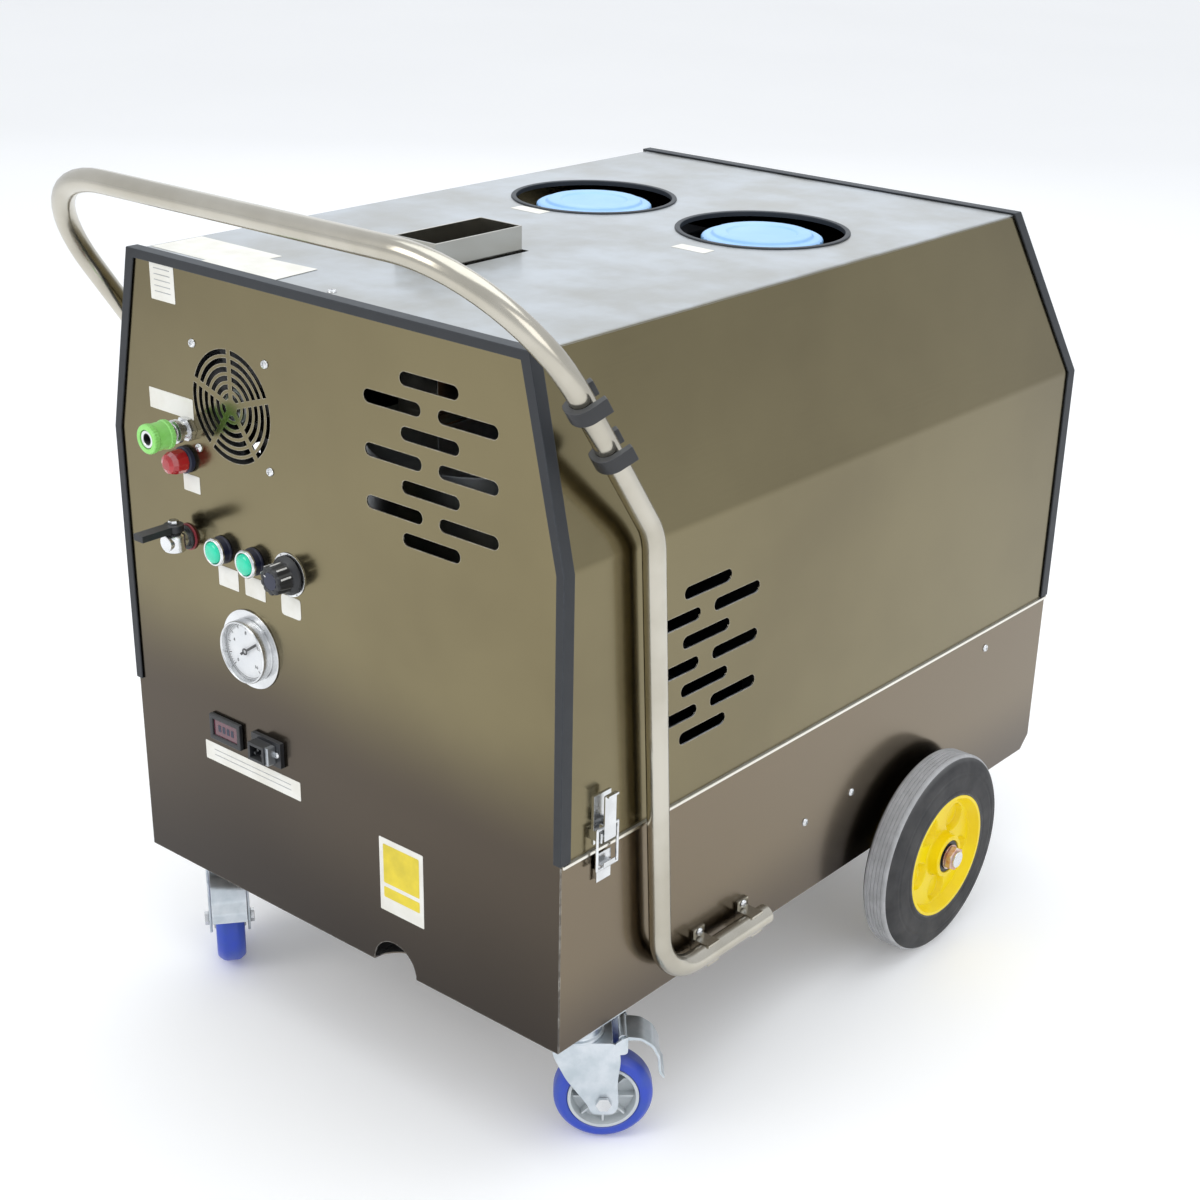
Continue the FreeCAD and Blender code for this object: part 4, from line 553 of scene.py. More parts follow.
def addPiece(name, mesh, look, body, replaces=(), angle=32.0):
    mesh = shaded(mesh, angle)
    mesh.materials.clear()
    mesh.materials.append(finishes[look])
    for face in mesh.polygons:
        face.material_index = 0
    mesh.name = name
    thing = loose(name, mesh)
    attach(thing, body)
    if replaces:
        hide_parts(*replaces)
    return thing


def copied(node):
    shape = bmesh.new()
    shape.from_mesh(nodes[node].data)
    bmesh.ops.remove_doubles(shape, verts=shape.verts, dist=2e-6)
    bmesh.ops.dissolve_limit(shape, angle_limit=math.radians(0.8), verts=shape.verts, edges=shape.edges)
    return shape


def solidBoxes(node):
    shape = bmesh.new()
    shape.from_mesh(nodes[node].data)
    bmesh.ops.remove_doubles(shape, verts=shape.verts, dist=2e-6)
    seen, boxes = set(), []
    for start in shape.verts:
        if start in seen:
            continue
        stack, group = [start], []
        seen.add(start)
        while stack:
            vert = stack.pop()
            group.append(vert.co.copy())
            for edge in vert.link_edges:
                other = edge.other_vert(vert)
                if other not in seen:
                    seen.add(other)
                    stack.append(other)
        low = Vector([min(co[k] for co in group) for k in range(3)])
        high = Vector([max(co[k] for co in group) for k in range(3)])
        boxes.append((low, high))
    shape.free()
    return boxes


def softened(node, look, width=0.0006, segments=2, angle=30.0):
    shape = copied(node)
    bevelSharp(shape, width, segments, angle)
    return addPiece(node + "_finished", toMesh(shape), look, nodes[node]["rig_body"], (node,))


def carved(mesh, cutter):
    thing, tool = loose("carved", mesh), loose("cutter", cutter)
    step = thing.modifiers.new("carve", "BOOLEAN")
    step.operation = "DIFFERENCE"
    step.solver = "EXACT"
    step.object = tool
    result = evaluated(thing)
    bpy.data.objects.remove(tool)
    return result


# Geometry Nodes trees: copies on a ring, copies in a row, a bent tube and screws.


def newTree(name, sockets):
    tree = bpy.data.node_groups.new(name, "GeometryNodeTree")
    tree.interface.new_socket("Geometry", in_out="INPUT", socket_type="NodeSocketGeometry")
    for label, kind in sockets:
        tree.interface.new_socket(label, in_out="INPUT", socket_type=kind)
    tree.interface.new_socket("Geometry", in_out="OUTPUT", socket_type="NodeSocketGeometry")
    return tree, tree.nodes.new("NodeGroupInput"), tree.nodes.new("NodeGroupOutput")


def endTree(tree, geometry, inside, out):
    real = tree.nodes.new("GeometryNodeRealizeInstances")
    dress = tree.nodes.new("GeometryNodeSetMaterial")
    tree.links.new(geometry, real.inputs[0])
    tree.links.new(real.outputs[0], dress.inputs["Geometry"])
    tree.links.new(inside.outputs["Material"], dress.inputs["Material"])
    tree.links.new(dress.outputs[0], out.inputs[0])


def buildRingTree():
    tree, inside, out = newTree("copiesOnRing", [("Count", "NodeSocketInt"), ("Radius", "NodeSocketFloat"),
                                                 ("Start", "NodeSocketFloat"), ("Step", "NodeSocketFloat"),
                                                 ("Material", "NodeSocketMaterial")])
    index = tree.nodes.new("GeometryNodeInputIndex")
    turn = mathNode(tree, "MULTIPLY_ADD", index.outputs[0], inside.outputs["Step"], inside.outputs["Start"])
    spot = tree.nodes.new("ShaderNodeCombineXYZ")
    for axis, operation in (("X", "COSINE"), ("Y", "SINE")):
        reach = mathNode(tree, "MULTIPLY", mathNode(tree, operation, turn), inside.outputs["Radius"])
        tree.links.new(reach, spot.inputs[axis])
    points = tree.nodes.new("GeometryNodePoints")
    tree.links.new(inside.outputs["Count"], points.inputs["Count"])
    tree.links.new(spot.outputs[0], points.inputs["Position"])
    angles = tree.nodes.new("ShaderNodeCombineXYZ")
    tree.links.new(turn, angles.inputs["Z"])
    rotation = tree.nodes.new("FunctionNodeEulerToRotation")
    tree.links.new(angles.outputs[0], rotation.inputs[0])
    copies = tree.nodes.new("GeometryNodeInstanceOnPoints")
    tree.links.new(points.outputs[0], copies.inputs["Points"])
    tree.links.new(inside.outputs["Geometry"], copies.inputs["Instance"])
    tree.links.new(rotation.outputs[0], copies.inputs["Rotation"])
    endTree(tree, copies.outputs[0], inside, out)
    return tree


def buildRowTree():
    tree, inside, out = newTree("copiesInRow", [("Count", "NodeSocketInt"), ("Step", "NodeSocketVector"),
                                                ("Material", "NodeSocketMaterial")])
    line = tree.nodes.new("GeometryNodeMeshLine")
    tree.links.new(inside.outputs["Count"], line.inputs["Count"])
    tree.links.new(inside.outputs["Step"], line.inputs["Offset"])
    copies = tree.nodes.new("GeometryNodeInstanceOnPoints")
    tree.links.new(line.outputs[0], copies.inputs["Points"])
    tree.links.new(inside.outputs["Geometry"], copies.inputs["Instance"])
    endTree(tree, copies.outputs[0], inside, out)
    return tree


def buildTubeTree():
    tree, inside, out = newTree("bentTube", [("Radius", "NodeSocketFloat"), ("Sides", "NodeSocketInt"),
                                             ("Bend Steps", "NodeSocketInt"),
                                             ("Material", "NodeSocketMaterial")])
    line = tree.nodes.new("GeometryNodeMeshToCurve")
    tree.links.new(inside.outputs["Geometry"], line.inputs[0])
    bend = tree.nodes.new("GeometryNodeFilletCurve")
    bend.inputs["Limit Radius"].default_value = True
    stored = tree.nodes.new("GeometryNodeInputNamedAttribute")
    stored.data_type = "FLOAT"
    stored.inputs["Name"].default_value = "bend"
    if "Mode" in bend.inputs:
        bend.inputs["Mode"].default_value = "Poly"
    else:
        bend.mode = "POLY"
    tree.links.new(line.outputs[0], bend.inputs["Curve"])
    tree.links.new(stored.outputs["Attribute"], bend.inputs["Radius"])
    tree.links.new(inside.outputs["Bend Steps"], bend.inputs["Count"])
    circle = tree.nodes.new("GeometryNodeCurvePrimitiveCircle")
    tree.links.new(inside.outputs["Radius"], circle.inputs["Radius"])
    tree.links.new(inside.outputs["Sides"], circle.inputs["Resolution"])
    sweep = tree.nodes.new("GeometryNodeCurveToMesh")
    sweep.inputs["Fill Caps"].default_value = True
    tree.links.new(bend.outputs[0], sweep.inputs["Curve"])
    tree.links.new(circle.outputs[0], sweep.inputs["Profile Curve"])
    endTree(tree, sweep.outputs[0], inside, out)
    return tree


def buildScrewTree():
    tree, inside, out = newTree("screwsFacing", [("Screw", "NodeSocketObject"),
                                                 ("Material", "NodeSocketMaterial")])
    info = tree.nodes.new("GeometryNodeObjectInfo")
    tree.links.new(inside.outputs["Screw"], info.inputs["Object"])
    facing = tree.nodes.new("GeometryNodeInputNamedAttribute")
    facing.data_type = "FLOAT_VECTOR"
    facing.inputs["Name"].default_value = "facing"
    aim = tree.nodes.new("FunctionNodeAlignRotationToVector")
    aim.axis = "Z"
    tree.links.new(facing.outputs["Attribute"], aim.inputs["Vector"])
    spin = tree.nodes.new("FunctionNodeRotateRotation")
    spin.rotation_space = "LOCAL"
    angle = tree.nodes.new("FunctionNodeRandomValue")
    angle.data_type = "FLOAT"
    angle.inputs[3].default_value = 3.14
    angle.inputs["Seed"].default_value = 7
    angles = tree.nodes.new("ShaderNodeCombineXYZ")
    tree.links.new(angle.outputs[1], angles.inputs["Z"])
    turned = tree.nodes.new("FunctionNodeEulerToRotation")
    tree.links.new(angles.outputs[0], turned.inputs[0])
    tree.links.new(aim.outputs[0], spin.inputs[0])
    tree.links.new(turned.outputs[0], spin.inputs[1])
    copies = tree.nodes.new("GeometryNodeInstanceOnPoints")
    tree.links.new(inside.outputs["Geometry"], copies.inputs["Points"])
    tree.links.new(info.outputs["Geometry"], copies.inputs["Instance"])
    tree.links.new(spin.outputs[0], copies.inputs["Rotation"])
    endTree(tree, copies.outputs[0], inside, out)
    return tree


trees = {"ring": buildRingTree(), "row": buildRowTree(), "tube": buildTubeTree(), "screws": buildScrewTree()}


def grown(key, mesh, look, **values):
    thing = loose("grown", mesh)
    step = thing.modifiers.new("grow", "NODES")
    step.node_group = trees[key]
    values["Material"] = finishes[look]
    for item in trees[key].interface.items_tree:
        if item.in_out == "INPUT" and item.name in values:
            step[item.identifier] = values[item.name]
    return evaluated(thing)


def ringOf(mesh, count, radius, look, start=0.0, step=None):
    return grown("ring", mesh, look, Count=count, Radius=radius, Start=start,
                 Step=2 * math.pi / count if step is None else step)


def bentTube(points, bends, radius, look, sides=32, bendSteps=14):
    line = bpy.data.meshes.new("line")
    line.from_pydata([tuple(p) for p in points], [(i, i + 1) for i in range(len(points) - 1)], [])
    stored = line.attributes.new("bend", "FLOAT", "POINT")
    for item, bend in zip(stored.data, bends):
        item.value = bend
    mesh = grown("tube", line, look, Radius=radius, Sides=sides, **{"Bend Steps": bendSteps})
    shape = bmesh.new()
    shape.from_mesh(mesh)
    bmesh.ops.remove_doubles(shape, verts=shape.verts, dist=1e-6)
    bmesh.ops.recalc_face_normals(shape, faces=shape.faces)
    return toMesh(shape)


def screwMesh(radius, high):
    profile = [(0, high), (radius * 0.45, high * 0.97), (radius * 0.8, high * 0.78),
               (radius * 0.97, high * 0.4), (radius, high * 0.12), (radius * 0.96, 0), (0, 0)]
    head = lathe(profile, 28, closed=False)
    arm = [(-radius * 0.55, -radius * 0.1), (radius * 0.55, -radius * 0.1), (radius * 0.55, radius * 0.1),
           (-radius * 0.55, radius * 0.1)]
    for turn in (0, 90):
        cross = moved(slab(arm, high, 0), Matrix.Translation((0, 0, high * 0.45)) @
                      Matrix.Rotation(math.radians(turn), 4, "Z"))
        head = carved(head, cross)
    return head


def screwsAt(spots, radius, high, look="brightSteel"):
    pattern = loose("screwPattern", screwMesh(radius, high))
    points = bpy.data.meshes.new("points")
    points.from_pydata([tuple(where) for where, facing in spots], [], [])
    stored = points.attributes.new("facing", "FLOAT_VECTOR", "POINT")
    for item, (where, facing) in zip(stored.data, spots):
        item.vector = facing
    mesh = grown("screws", points, look, Screw=pattern)
    bpy.data.objects.remove(pattern)
    return mesh


log("tools")

# Cabinet, handle and screws.


def buildHood():
    bends = {"radius": 0.0030, "steps": 4, "wall": 0.0015}
    shape = copied("hood_shell")
    shoulder = max(v.co.z for v in shape.verts if abs(v.co.x) > cabinetSide - 1e-5)
    for outer in (True, False):
        edges = []
        for edge in shape.edges:
            a, b = edge.verts[0].co, edge.verts[1].co
            if abs(a.y - b.y) < 0.3 or abs(a.x - b.x) > 1e-4 or min(a.z, b.z) < shoulder - 0.004:
                continue
            onOutside = a.z > hoodTop - 1e-4 or abs(a.x) > cabinetSide - 1e-4
            if onOutside == outer:
                edges.append(edge)
        inset = 0.0 if outer else bends["wall"] * 0.8
        bmesh.ops.bevel(shape, geom=edges, offset=bends["radius"] - inset, segments=bends["steps"],
                        profile=0.5, affect="EDGES", clamp_overlap=True)
    addPiece("hoodSheet", toMesh(shape), "hoodSteel", "hood", ("hood_shell",))


def buildFillerRings():
    low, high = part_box("filler_rings")
    for name, (ringLow, ringHigh) in zip(("Water", "Fuel"),
                                         sorted(solidBoxes("filler_rings"), key=lambda b: b[0].x)):
        centre = (ringLow + ringHigh) / 2
        outer = (ringHigh.x - ringLow.x) / 2
        profile = [(outer - 0.0055, low.z), (outer - 0.0055, high.z - 0.0004), (outer - 0.004, high.z),
                   (outer - 0.001, high.z), (outer, high.z - 0.0006), (outer, hoodTop + 0.0001),
                   (outer - 0.0034, hoodTop + 0.0001), (outer - 0.0034, low.z)]
        mesh = turned(profile, 0.0006, 2, 96)
        addPiece("fillerRing" + name, moved(mesh, Matrix.Translation((centre.x, centre.y, 0))),
                 "edgeRubber", "hood", ("filler_rings",))


def buildHandle():
    handle = {"footBendY": 0.133, "legBendY": 0.099, "legBendZ": 0.650, "footRadius": 0.060,
              "legRadius": 0.060, "cornerRadius": 0.134}
    low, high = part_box("handle_tube")
    radius = 0.011
    half, foot, bar = high.x - radius, low.z + radius, high.z - radius
    right = [(half, high.y - 0.0001, foot), (half, frontY + handle["footBendY"], foot),
             (half, frontY + handle["legBendY"], handle["legBendZ"]), (half, low.y + radius, bar)]
    points = right + [(-x, y, z) for x, y, z in reversed(right)]
    bends = [0.0, handle["footRadius"], handle["legRadius"], handle["cornerRadius"]]
    mesh = bentTube(points, bends + bends[::-1], radius, "tubeSteel")
    addPiece("pushHandle", mesh, "tubeSteel", "chassis", ("handle_tube",))


def buildScrews():
    spots = {}
    for low, high in solidBoxes("panel_screws"):
        centre, size = (low + high) / 2, high - low
        if size.y > size.x:
            spots.setdefault("front", []).append((Vector((centre.x, low.y + 0.0025, centre.z)), (0, -1, 0)))
        else:
            sign = 1 if centre.x > 0 else -1
            outer = high.x if sign > 0 else low.x
            spots.setdefault("side", []).append((Vector((outer - sign * 0.0026, centre.y, centre.z)),
                                                 (sign, 0, 0)))
    mesh = screwsAt(spots["front"] + spots["side"], 0.0045, 0.0025)
    addPiece("cabinetScrews", mesh, "brightSteel", "chassis", ("panel_screws",))
    top = screwsAt([(Vector((0, frontY + 0.0237, hoodTop)), (0, 0, 1))], 0.0045, 0.0024)
    addPiece("hoodScrew", top, "brightSteel", "hood")


buildHood()
for node, look, width in (("base_tray", "traySteel", 0.0004), ("front_panel", "panelSteel", 0.0),
                          ("rear_panel", "panelSteel", 0.0), ("exhaust_collar", "collarSteel", 0.0005),
                          ("hood_front_trim", "edgeRubber", 0.0009), ("hood_rear_trim", "edgeRubber", 0.0009),
                          ("handle_saddles", "tubeSteel", 0.0010), ("lance_clips", "blackPlastic", 0.0008),
                          ("base_frame", "framePaint", 0.0010), ("caster_plates", "zincPlate", 0.0006)):
    softened(node, look, width)
buildFillerRings()
buildHandle()
buildScrews()
log("cabinet")

# Rear wheels and casters.


def buildRearWheel(label, sign):
    wheel = {"grooves": (-0.0092, -0.0046, 0.0, 0.0046, 0.0092), "grooveWide": 0.0011, "grooveDeep": 0.0009,
             "dishes": 5, "dishRadius": 0.0165, "dishAt": 0.0455, "dishDeep": 0.0075}
    body = "rear_wheel_" + ("left" if sign < 0 else "right")
    low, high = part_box("rear_tyre_" + label)
    centre = (low + high) / 2
    half, crown = (high.x - low.x) / 2, (high.z - low.z) / 2
    bore = (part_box("rear_disc_" + label)[1].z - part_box("rear_disc_" + label)[0].z) / 2
    side = [(bore + 0.0002, half), (bore + 0.0040, half), (bore + 0.0052, half - 0.0007),
            (bore + 0.0068, half - 0.0007), (bore + 0.008, half - 0.0002), (crown - 0.0235, half - 0.0003),
            (crown - 0.021, half - 0.0012), (crown - 0.0185, half - 0.0007),
            (crown - 0.0110, half - 0.0022), (crown - 0.0065, half - 0.0042),
            (crown - 0.0026, half - 0.0072), (crown - 0.0028, half - 0.0108)]
    wide, deep = wheel["grooveWide"] / 2, wheel["grooveDeep"]
    edge = half - 0.0075
    tread = [(crown - 0.0024, edge), (crown - 0.0008, edge - 0.0012), (crown, edge - 0.0030)]
    for groove in reversed(wheel["grooves"]):
        tread += [(crown, groove + wide), (crown - deep, groove + wide * 0.6),
                  (crown - deep, groove - wide * 0.6), (crown, groove - wide)]
    tread += [(crown, 0.0030 - edge), (crown - 0.0008, 0.0012 - edge), (crown - 0.0024, -edge)]
    rounded = softCorners(side, 0.0012, 2, closed=False)
    profile = rounded + [Vector((r, -h)) for r, h in reversed(rounded)]
    spot = along(centre, (sign, 0, 0))
    addPiece("rearTread_" + label, moved(lathe(tread + [(crown - 0.0034, -edge), (crown - 0.0034, edge)],
                                               144), spot), "wornTread", body, (), 40.0)
    addPiece("rearTyre_" + label, moved(lathe(profile, 120), spot), "treadRubber", body,
             ("rear_tyre_" + label,), 40.0)

    webRadii = [0.0280 + 0.0024 * i for i in range(16)]
    front = [(bore - 0.0002, -half), (bore - 0.0002, half), (bore - 0.0036, half), (bore - 0.0060, 0.0175)]
    front += [(r, 0.0112) for r in reversed(webRadii)]
    front += [(0.0258, 0.0135), (0.0250, 0.0240), (0.0240, 0.0249), (0.0200, 0.0249), (0.0195, 0.0242),
              (0.0195, 0.0215), (0.0101, 0.0215), (0.0101, -half - 0.0008), (0.0195, -half - 0.0008),
              (0.0220, 0.0030), (0.0620, 0.0052), (bore - 0.0045, -0.0100), (bore - 0.0034, -half)]

    def dished(radius, height, turn):
        if not 0.027 < radius < 0.0655 or abs(height - 0.0112) > 1e-6:
            return radius, height
        pitch = 2 * math.pi / wheel["dishes"]
        off = (turn + pitch / 2) % pitch - pitch / 2
        dx = radius * math.cos(off) - wheel["dishAt"]
        dy = radius * math.sin(off)
        depth = max(0.0, 1 - (dx * dx + dy * dy) / wheel["dishRadius"] ** 2)
        return radius, height - wheel["dishDeep"] * min(1.0, depth * 3.0)

    addPiece("rearRim_" + label, moved(lathe(front, 160, change=dished), spot), "wheelYellow", body,
             ("rear_disc_" + label,), 40.0)
    seal = turned([(0.0120, 0.0216), (0.0192, 0.0216), (0.0192, 0.0238), (0.0120, 0.0238)], 0.0005, 2, 48)
    addPiece("hubSeal_" + label, moved(seal, spot), "blackPlastic", body)


def buildAxle():
    low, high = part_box("rear_axle")
    centre = (low + high) / 2
    reach = high.x
    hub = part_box("rear_disc_r")[1].x
    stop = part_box("rear_disc_r")[0].x - 0.004
    parts = [lathe(softCorners([(0, -reach), (0.0098, -reach), (0.0098, reach), (0, reach)], 0.0012, 2), 40,
                   closed=False)]
    nuts = []
    for sign in (-1, 1):
        way = Matrix.Rotation(0 if sign > 0 else math.pi, 4, "X")
        parts.append(moved(lathe([(0.0098, stop - 0.004), (0.015, stop - 0.004), (0.015, stop),
                                  (0.0098, stop)], 40), way))
        ring = [(0.0099, hub + 0.0003), (0.0149, hub + 0.0003), (0.0149, hub + 0.0018),
                (0.0099, hub + 0.0018)]
        nuts.append(moved(turned(ring, 0.0004, 2, 40), way))
        hexagon = moved(slab(polygon(6, 0.0147), 0.0075, 0.0008), Matrix.Translation((0, 0, hub + 0.0019)))
        nuts.append(moved(hexagon, way))
    spot = along(centre, (1, 0, 0))
    addPiece("axleShaft", moved(joined(*parts), spot), "brightSteel", "chassis", ("rear_axle",))
    addPiece("axleNuts", moved(joined(*nuts), spot), "rustyNut", "chassis")


def casterFrame(side):
    pivot = Vector(joints["caster_swivel_" + side]["pos_m"])
    wheel = Vector(joints["caster_roll_" + side]["pos_m"])
    roll = Vector(joints["caster_roll_" + side]["axis"]).normalized()
    trail = roll.cross(Vector((0, 0, 1)))
    turn = Matrix((trail, roll, Vector((0, 0, 1)))).transposed().to_4x4()
    lead = (wheel - pivot).dot(trail)
    return Matrix.Translation((pivot.x, pivot.y, 0)) @ turn, lead, wheel


def buildCaster(label, side):
    sizes = {"wall": 0.003, "halfWide": 0.023, "crown": 0.118, "boltRadius": 0.0082}
    spot, lead, wheel = casterFrame(side)
    upright = Matrix.Rotation(math.radians(90), 4, "X")  # an XY outline stands in the XZ plane
    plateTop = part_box("caster_plates")[0].z
    top = sizes["crown"] + sizes["wall"]
    cheek = softCorners([(-0.024, top), (-0.0235, 0.107), (-0.010, 0.078), (lead - 0.016, 0.047),
                         (lead - 0.012, 0.036), (lead, 0.0352), (lead + 0.012, 0.036),
                         (lead + 0.0155, 0.047), (lead + 0.0135, 0.074), (lead + 0.0165, 0.100),
                         (lead + 0.014, 0.116), (lead + 0.008, top)], 0.007, 4)
    parts = []
    for sign in (-1, 1):
        outer = sizes["halfWide"] if sign > 0 else sizes["wall"] - sizes["halfWide"]
        plate = moved(slab(cheek, sizes["wall"], 0.0007), upright)
        parts.append(moved(plate, Matrix.Translation((0, outer, 0))))
        ear = slab(softCorners([(lead + 0.008, 0.106), (0.051, 0.108), (0.051, 0.129),
                                (lead + 0.010, 0.1205)], 0.004, 4), sizes["wall"] * 0.98, 0.0005)
        parts.append(moved(moved(ear, upright), Matrix.Translation((0, outer - 0.00003, 0))))
    crown = softCorners([(-0.0238, -0.0222), (lead + 0.008, -0.0222), (lead + 0.008, 0.0222),
                         (-0.0238, 0.0222)], 0.006, 4)
    parts.append(moved(slab(crown, sizes["wall"], 0.0009),
                       Matrix.Translation((0, 0, sizes["crown"] - 0.0001))))
    race = [(0, top), (0.0278, top), (0.0280, top + 0.0030), (0.0255, top + 0.0045), (0.0248, top + 0.0125),
            (0.0262, top + 0.0145), (0.0278, top + 0.0160), (0.0278, plateTop - 0.0005),
            (0, plateTop - 0.0005)]
    parts.append(turned(race, 0.0008, 2, 56, closed=False))
    pin = moved(turned([(0, -0.0229), (0.002, -0.0229), (0.002, 0.0229), (0, 0.0229)], 0.0003, 2, 20,
                       closed=False), along((0.046, 0, 0.124), (0, 1, 0)))
    parts.append(pin)
    addPiece("casterFork_" + label, moved(joined(*parts), spot), "zincPlate", "swivel_" + side,
             ("caster_fork_" + label,))
    axle = along((lead, 0, 0.050), (0, 1, 0))
    bolt = [turned([(0, -0.0265), (0.0049, -0.0265), (0.0049, 0.0272), (0, 0.0272)], 0.0008, 2, 28,
                   closed=False)]
    for z in (-0.0279, 0.0232):
        bolt.append(moved(slab(polygon(6, sizes["boltRadius"]), 0.0046, 0.0006),
                          Matrix.Translation((0, 0, z))))
    addPiece("casterBolt_" + label, moved(moved(joined(*bolt), axle), spot), "brightSteel",
             "swivel_" + side)

    half, crownR, rim = 0.016, 0.050, 0.0362
    tyre = softCorners([(rim, -half), (crownR - 0.006, -half), (crownR, -half + 0.0075),
                        (crownR, half - 0.0075), (crownR - 0.006, half), (rim, half)], 0.0035, 4)
    addPiece("casterTread_" + label, moved(moved(lathe(tyre, 96), axle), spot), "polyurethane",
             "caster_wheel_" + side, ("caster_tread_" + label,))
    core = [(0.0051, -half - 0.0018), (0.0115, -half - 0.0018), (0.0130, -half), (0.0140, -0.0035),
            (rim - 0.0055, -0.0035), (rim - 0.0035, 0.0012 - half), (rim - 0.0002, 0.0012 - half),
            (rim - 0.0002, half - 0.0012), (rim - 0.0035, half - 0.0012), (rim - 0.0055, 0.0035),
            (0.0140, 0.0035), (0.0130, half), (0.0115, half + 0.0018), (0.0051, half + 0.0018)]
    rib = moved(slab(rectangle(0.0175, 0.0022), 0.024, 0.0004), Matrix.Translation((0, 0, -0.012)))
    ribs = ringOf(rib, 8, 0.0215, "nylon")
    mesh = joined(turned(core, 0.0006, 2, 72), ribs)
    addPiece("casterCore_" + label, moved(moved(mesh, axle), spot), "nylon", "caster_wheel_" + side,
             ("caster_core_" + label,))

    wide = 0.0385
    blade = softCorners([(0.046, 0.1217), (0.063, 0.1222), (0.075, 0.1135), (0.081, 0.1010),
                         (0.082, 0.0840), (0.0875, 0.0766), (0.0888, 0.0780), (0.0844, 0.0845),
                         (0.0834, 0.1020), (0.0768, 0.1158), (0.064, 0.1248), (0.046, 0.1263)], 0.004, 3)
    pedal = moved(moved(slab(blade, wide, 0.0008), upright), Matrix.Translation((0, wide / 2, 0)))
    barrel = moved(turned([(0.00215, -wide / 2), (0.0044, -wide / 2), (0.0044, wide / 2),
                           (0.00215, wide / 2)], 0.0004, 2, 28), along((0.046, 0, 0.124), (0, 1, 0)))
    addPiece("casterPedal_" + label, moved(joined(pedal, barrel), spot), "zincPlate", "pedal_" + side,
             ("caster_pedal_" + label,))


for label, side, sign in (("l", "left", -1), ("r", "right", 1)):
    buildRearWheel(label, sign)
    buildCaster(label, side)
buildAxle()
log("wheels")

# Latches and controls.

softened("latch_bases", "brightSteel", 0.0004)
softened("latch_keepers", "brightSteel", 0.0004)
for label in ("l", "r"):
    softened("latch_lever_" + label, "brightSteel", 0.0005)
    softened("latch_bail_" + label, "brightSteel", 0.0)


def panelSpot(node):
    centre = middle(node)
    return onPanel(centre.x, centre.z)


def buildButtons():
    button = {"barrel": 0.0137, "ringOut": 0.0140, "lens": 0.0109}
    barrels, rings = [], []
    for name in ("start", "stop"):
        spot = panelSpot("button_" + name)
        back = 0.044
        barrel = [(0.0116, 0.0002), (button["barrel"] + 0.0006, 0.0002), (button["barrel"] + 0.0006, 0.0022),
                  (button["barrel"], 0.0030), (button["barrel"], 0.0100), (0.0116, 0.0100)]
        stem = [(0, -back), (0.0108, -back), (0.0108, -0.0002), (0, -0.0002)]
        barrels.append(moved(joined(turned(barrel, 0.0004, 2, 56),
                                    turned(stem, 0.0006, 2, 40, closed=False)), spot))
        ring = [(0.0114, 0.0101), (0.0145, 0.0101), (0.0145, 0.0122), (0.0132, button["ringOut"]),
                (0.0120, button["ringOut"]), (0.0114, 0.0130)]
        rings.append(moved(turned(ring, 0.0005, 3, 64), spot))
        lens = [(0, 0.0169), (0.0045, 0.0168), (0.0080, 0.0163), (0.0100, 0.0151), (button["lens"], 0.0134),
                (button["lens"], 0.0082), (0, 0.0082)]
        addPiece("lens_" + name, moved(turned(lens, 0.0008, 2, 56, closed=False), spot), "lensTeal",
                 "button_" + name, ("button_" + name,))
    addPiece("buttonBarrels", joined(*barrels), "darkBlue", "chassis", ("control_bezels",))
    addPiece("buttonRings", joined(*rings), "brightSteel", "chassis")


def flatText(words, high, depth):
    curve = bpy.data.curves.new("figures", "FONT")
    curve.body = words
    curve.size = high
    curve.extrude = depth / 2
    curve.align_x = "CENTER"
    curve.align_y = "CENTER"
    return evaluated(loose("figures", curve))


def figuresOnRing(words, radius, high, start, sweep, out):
    made = []
    for i, word in enumerate(words):
        turn = math.radians(start + sweep * i / (len(words) - 1))
        made.append(moved(flatText(word, high, 0.0002),
                          Matrix.Translation((radius * math.cos(turn), radius * math.sin(turn), out))))
    return joined(*made)


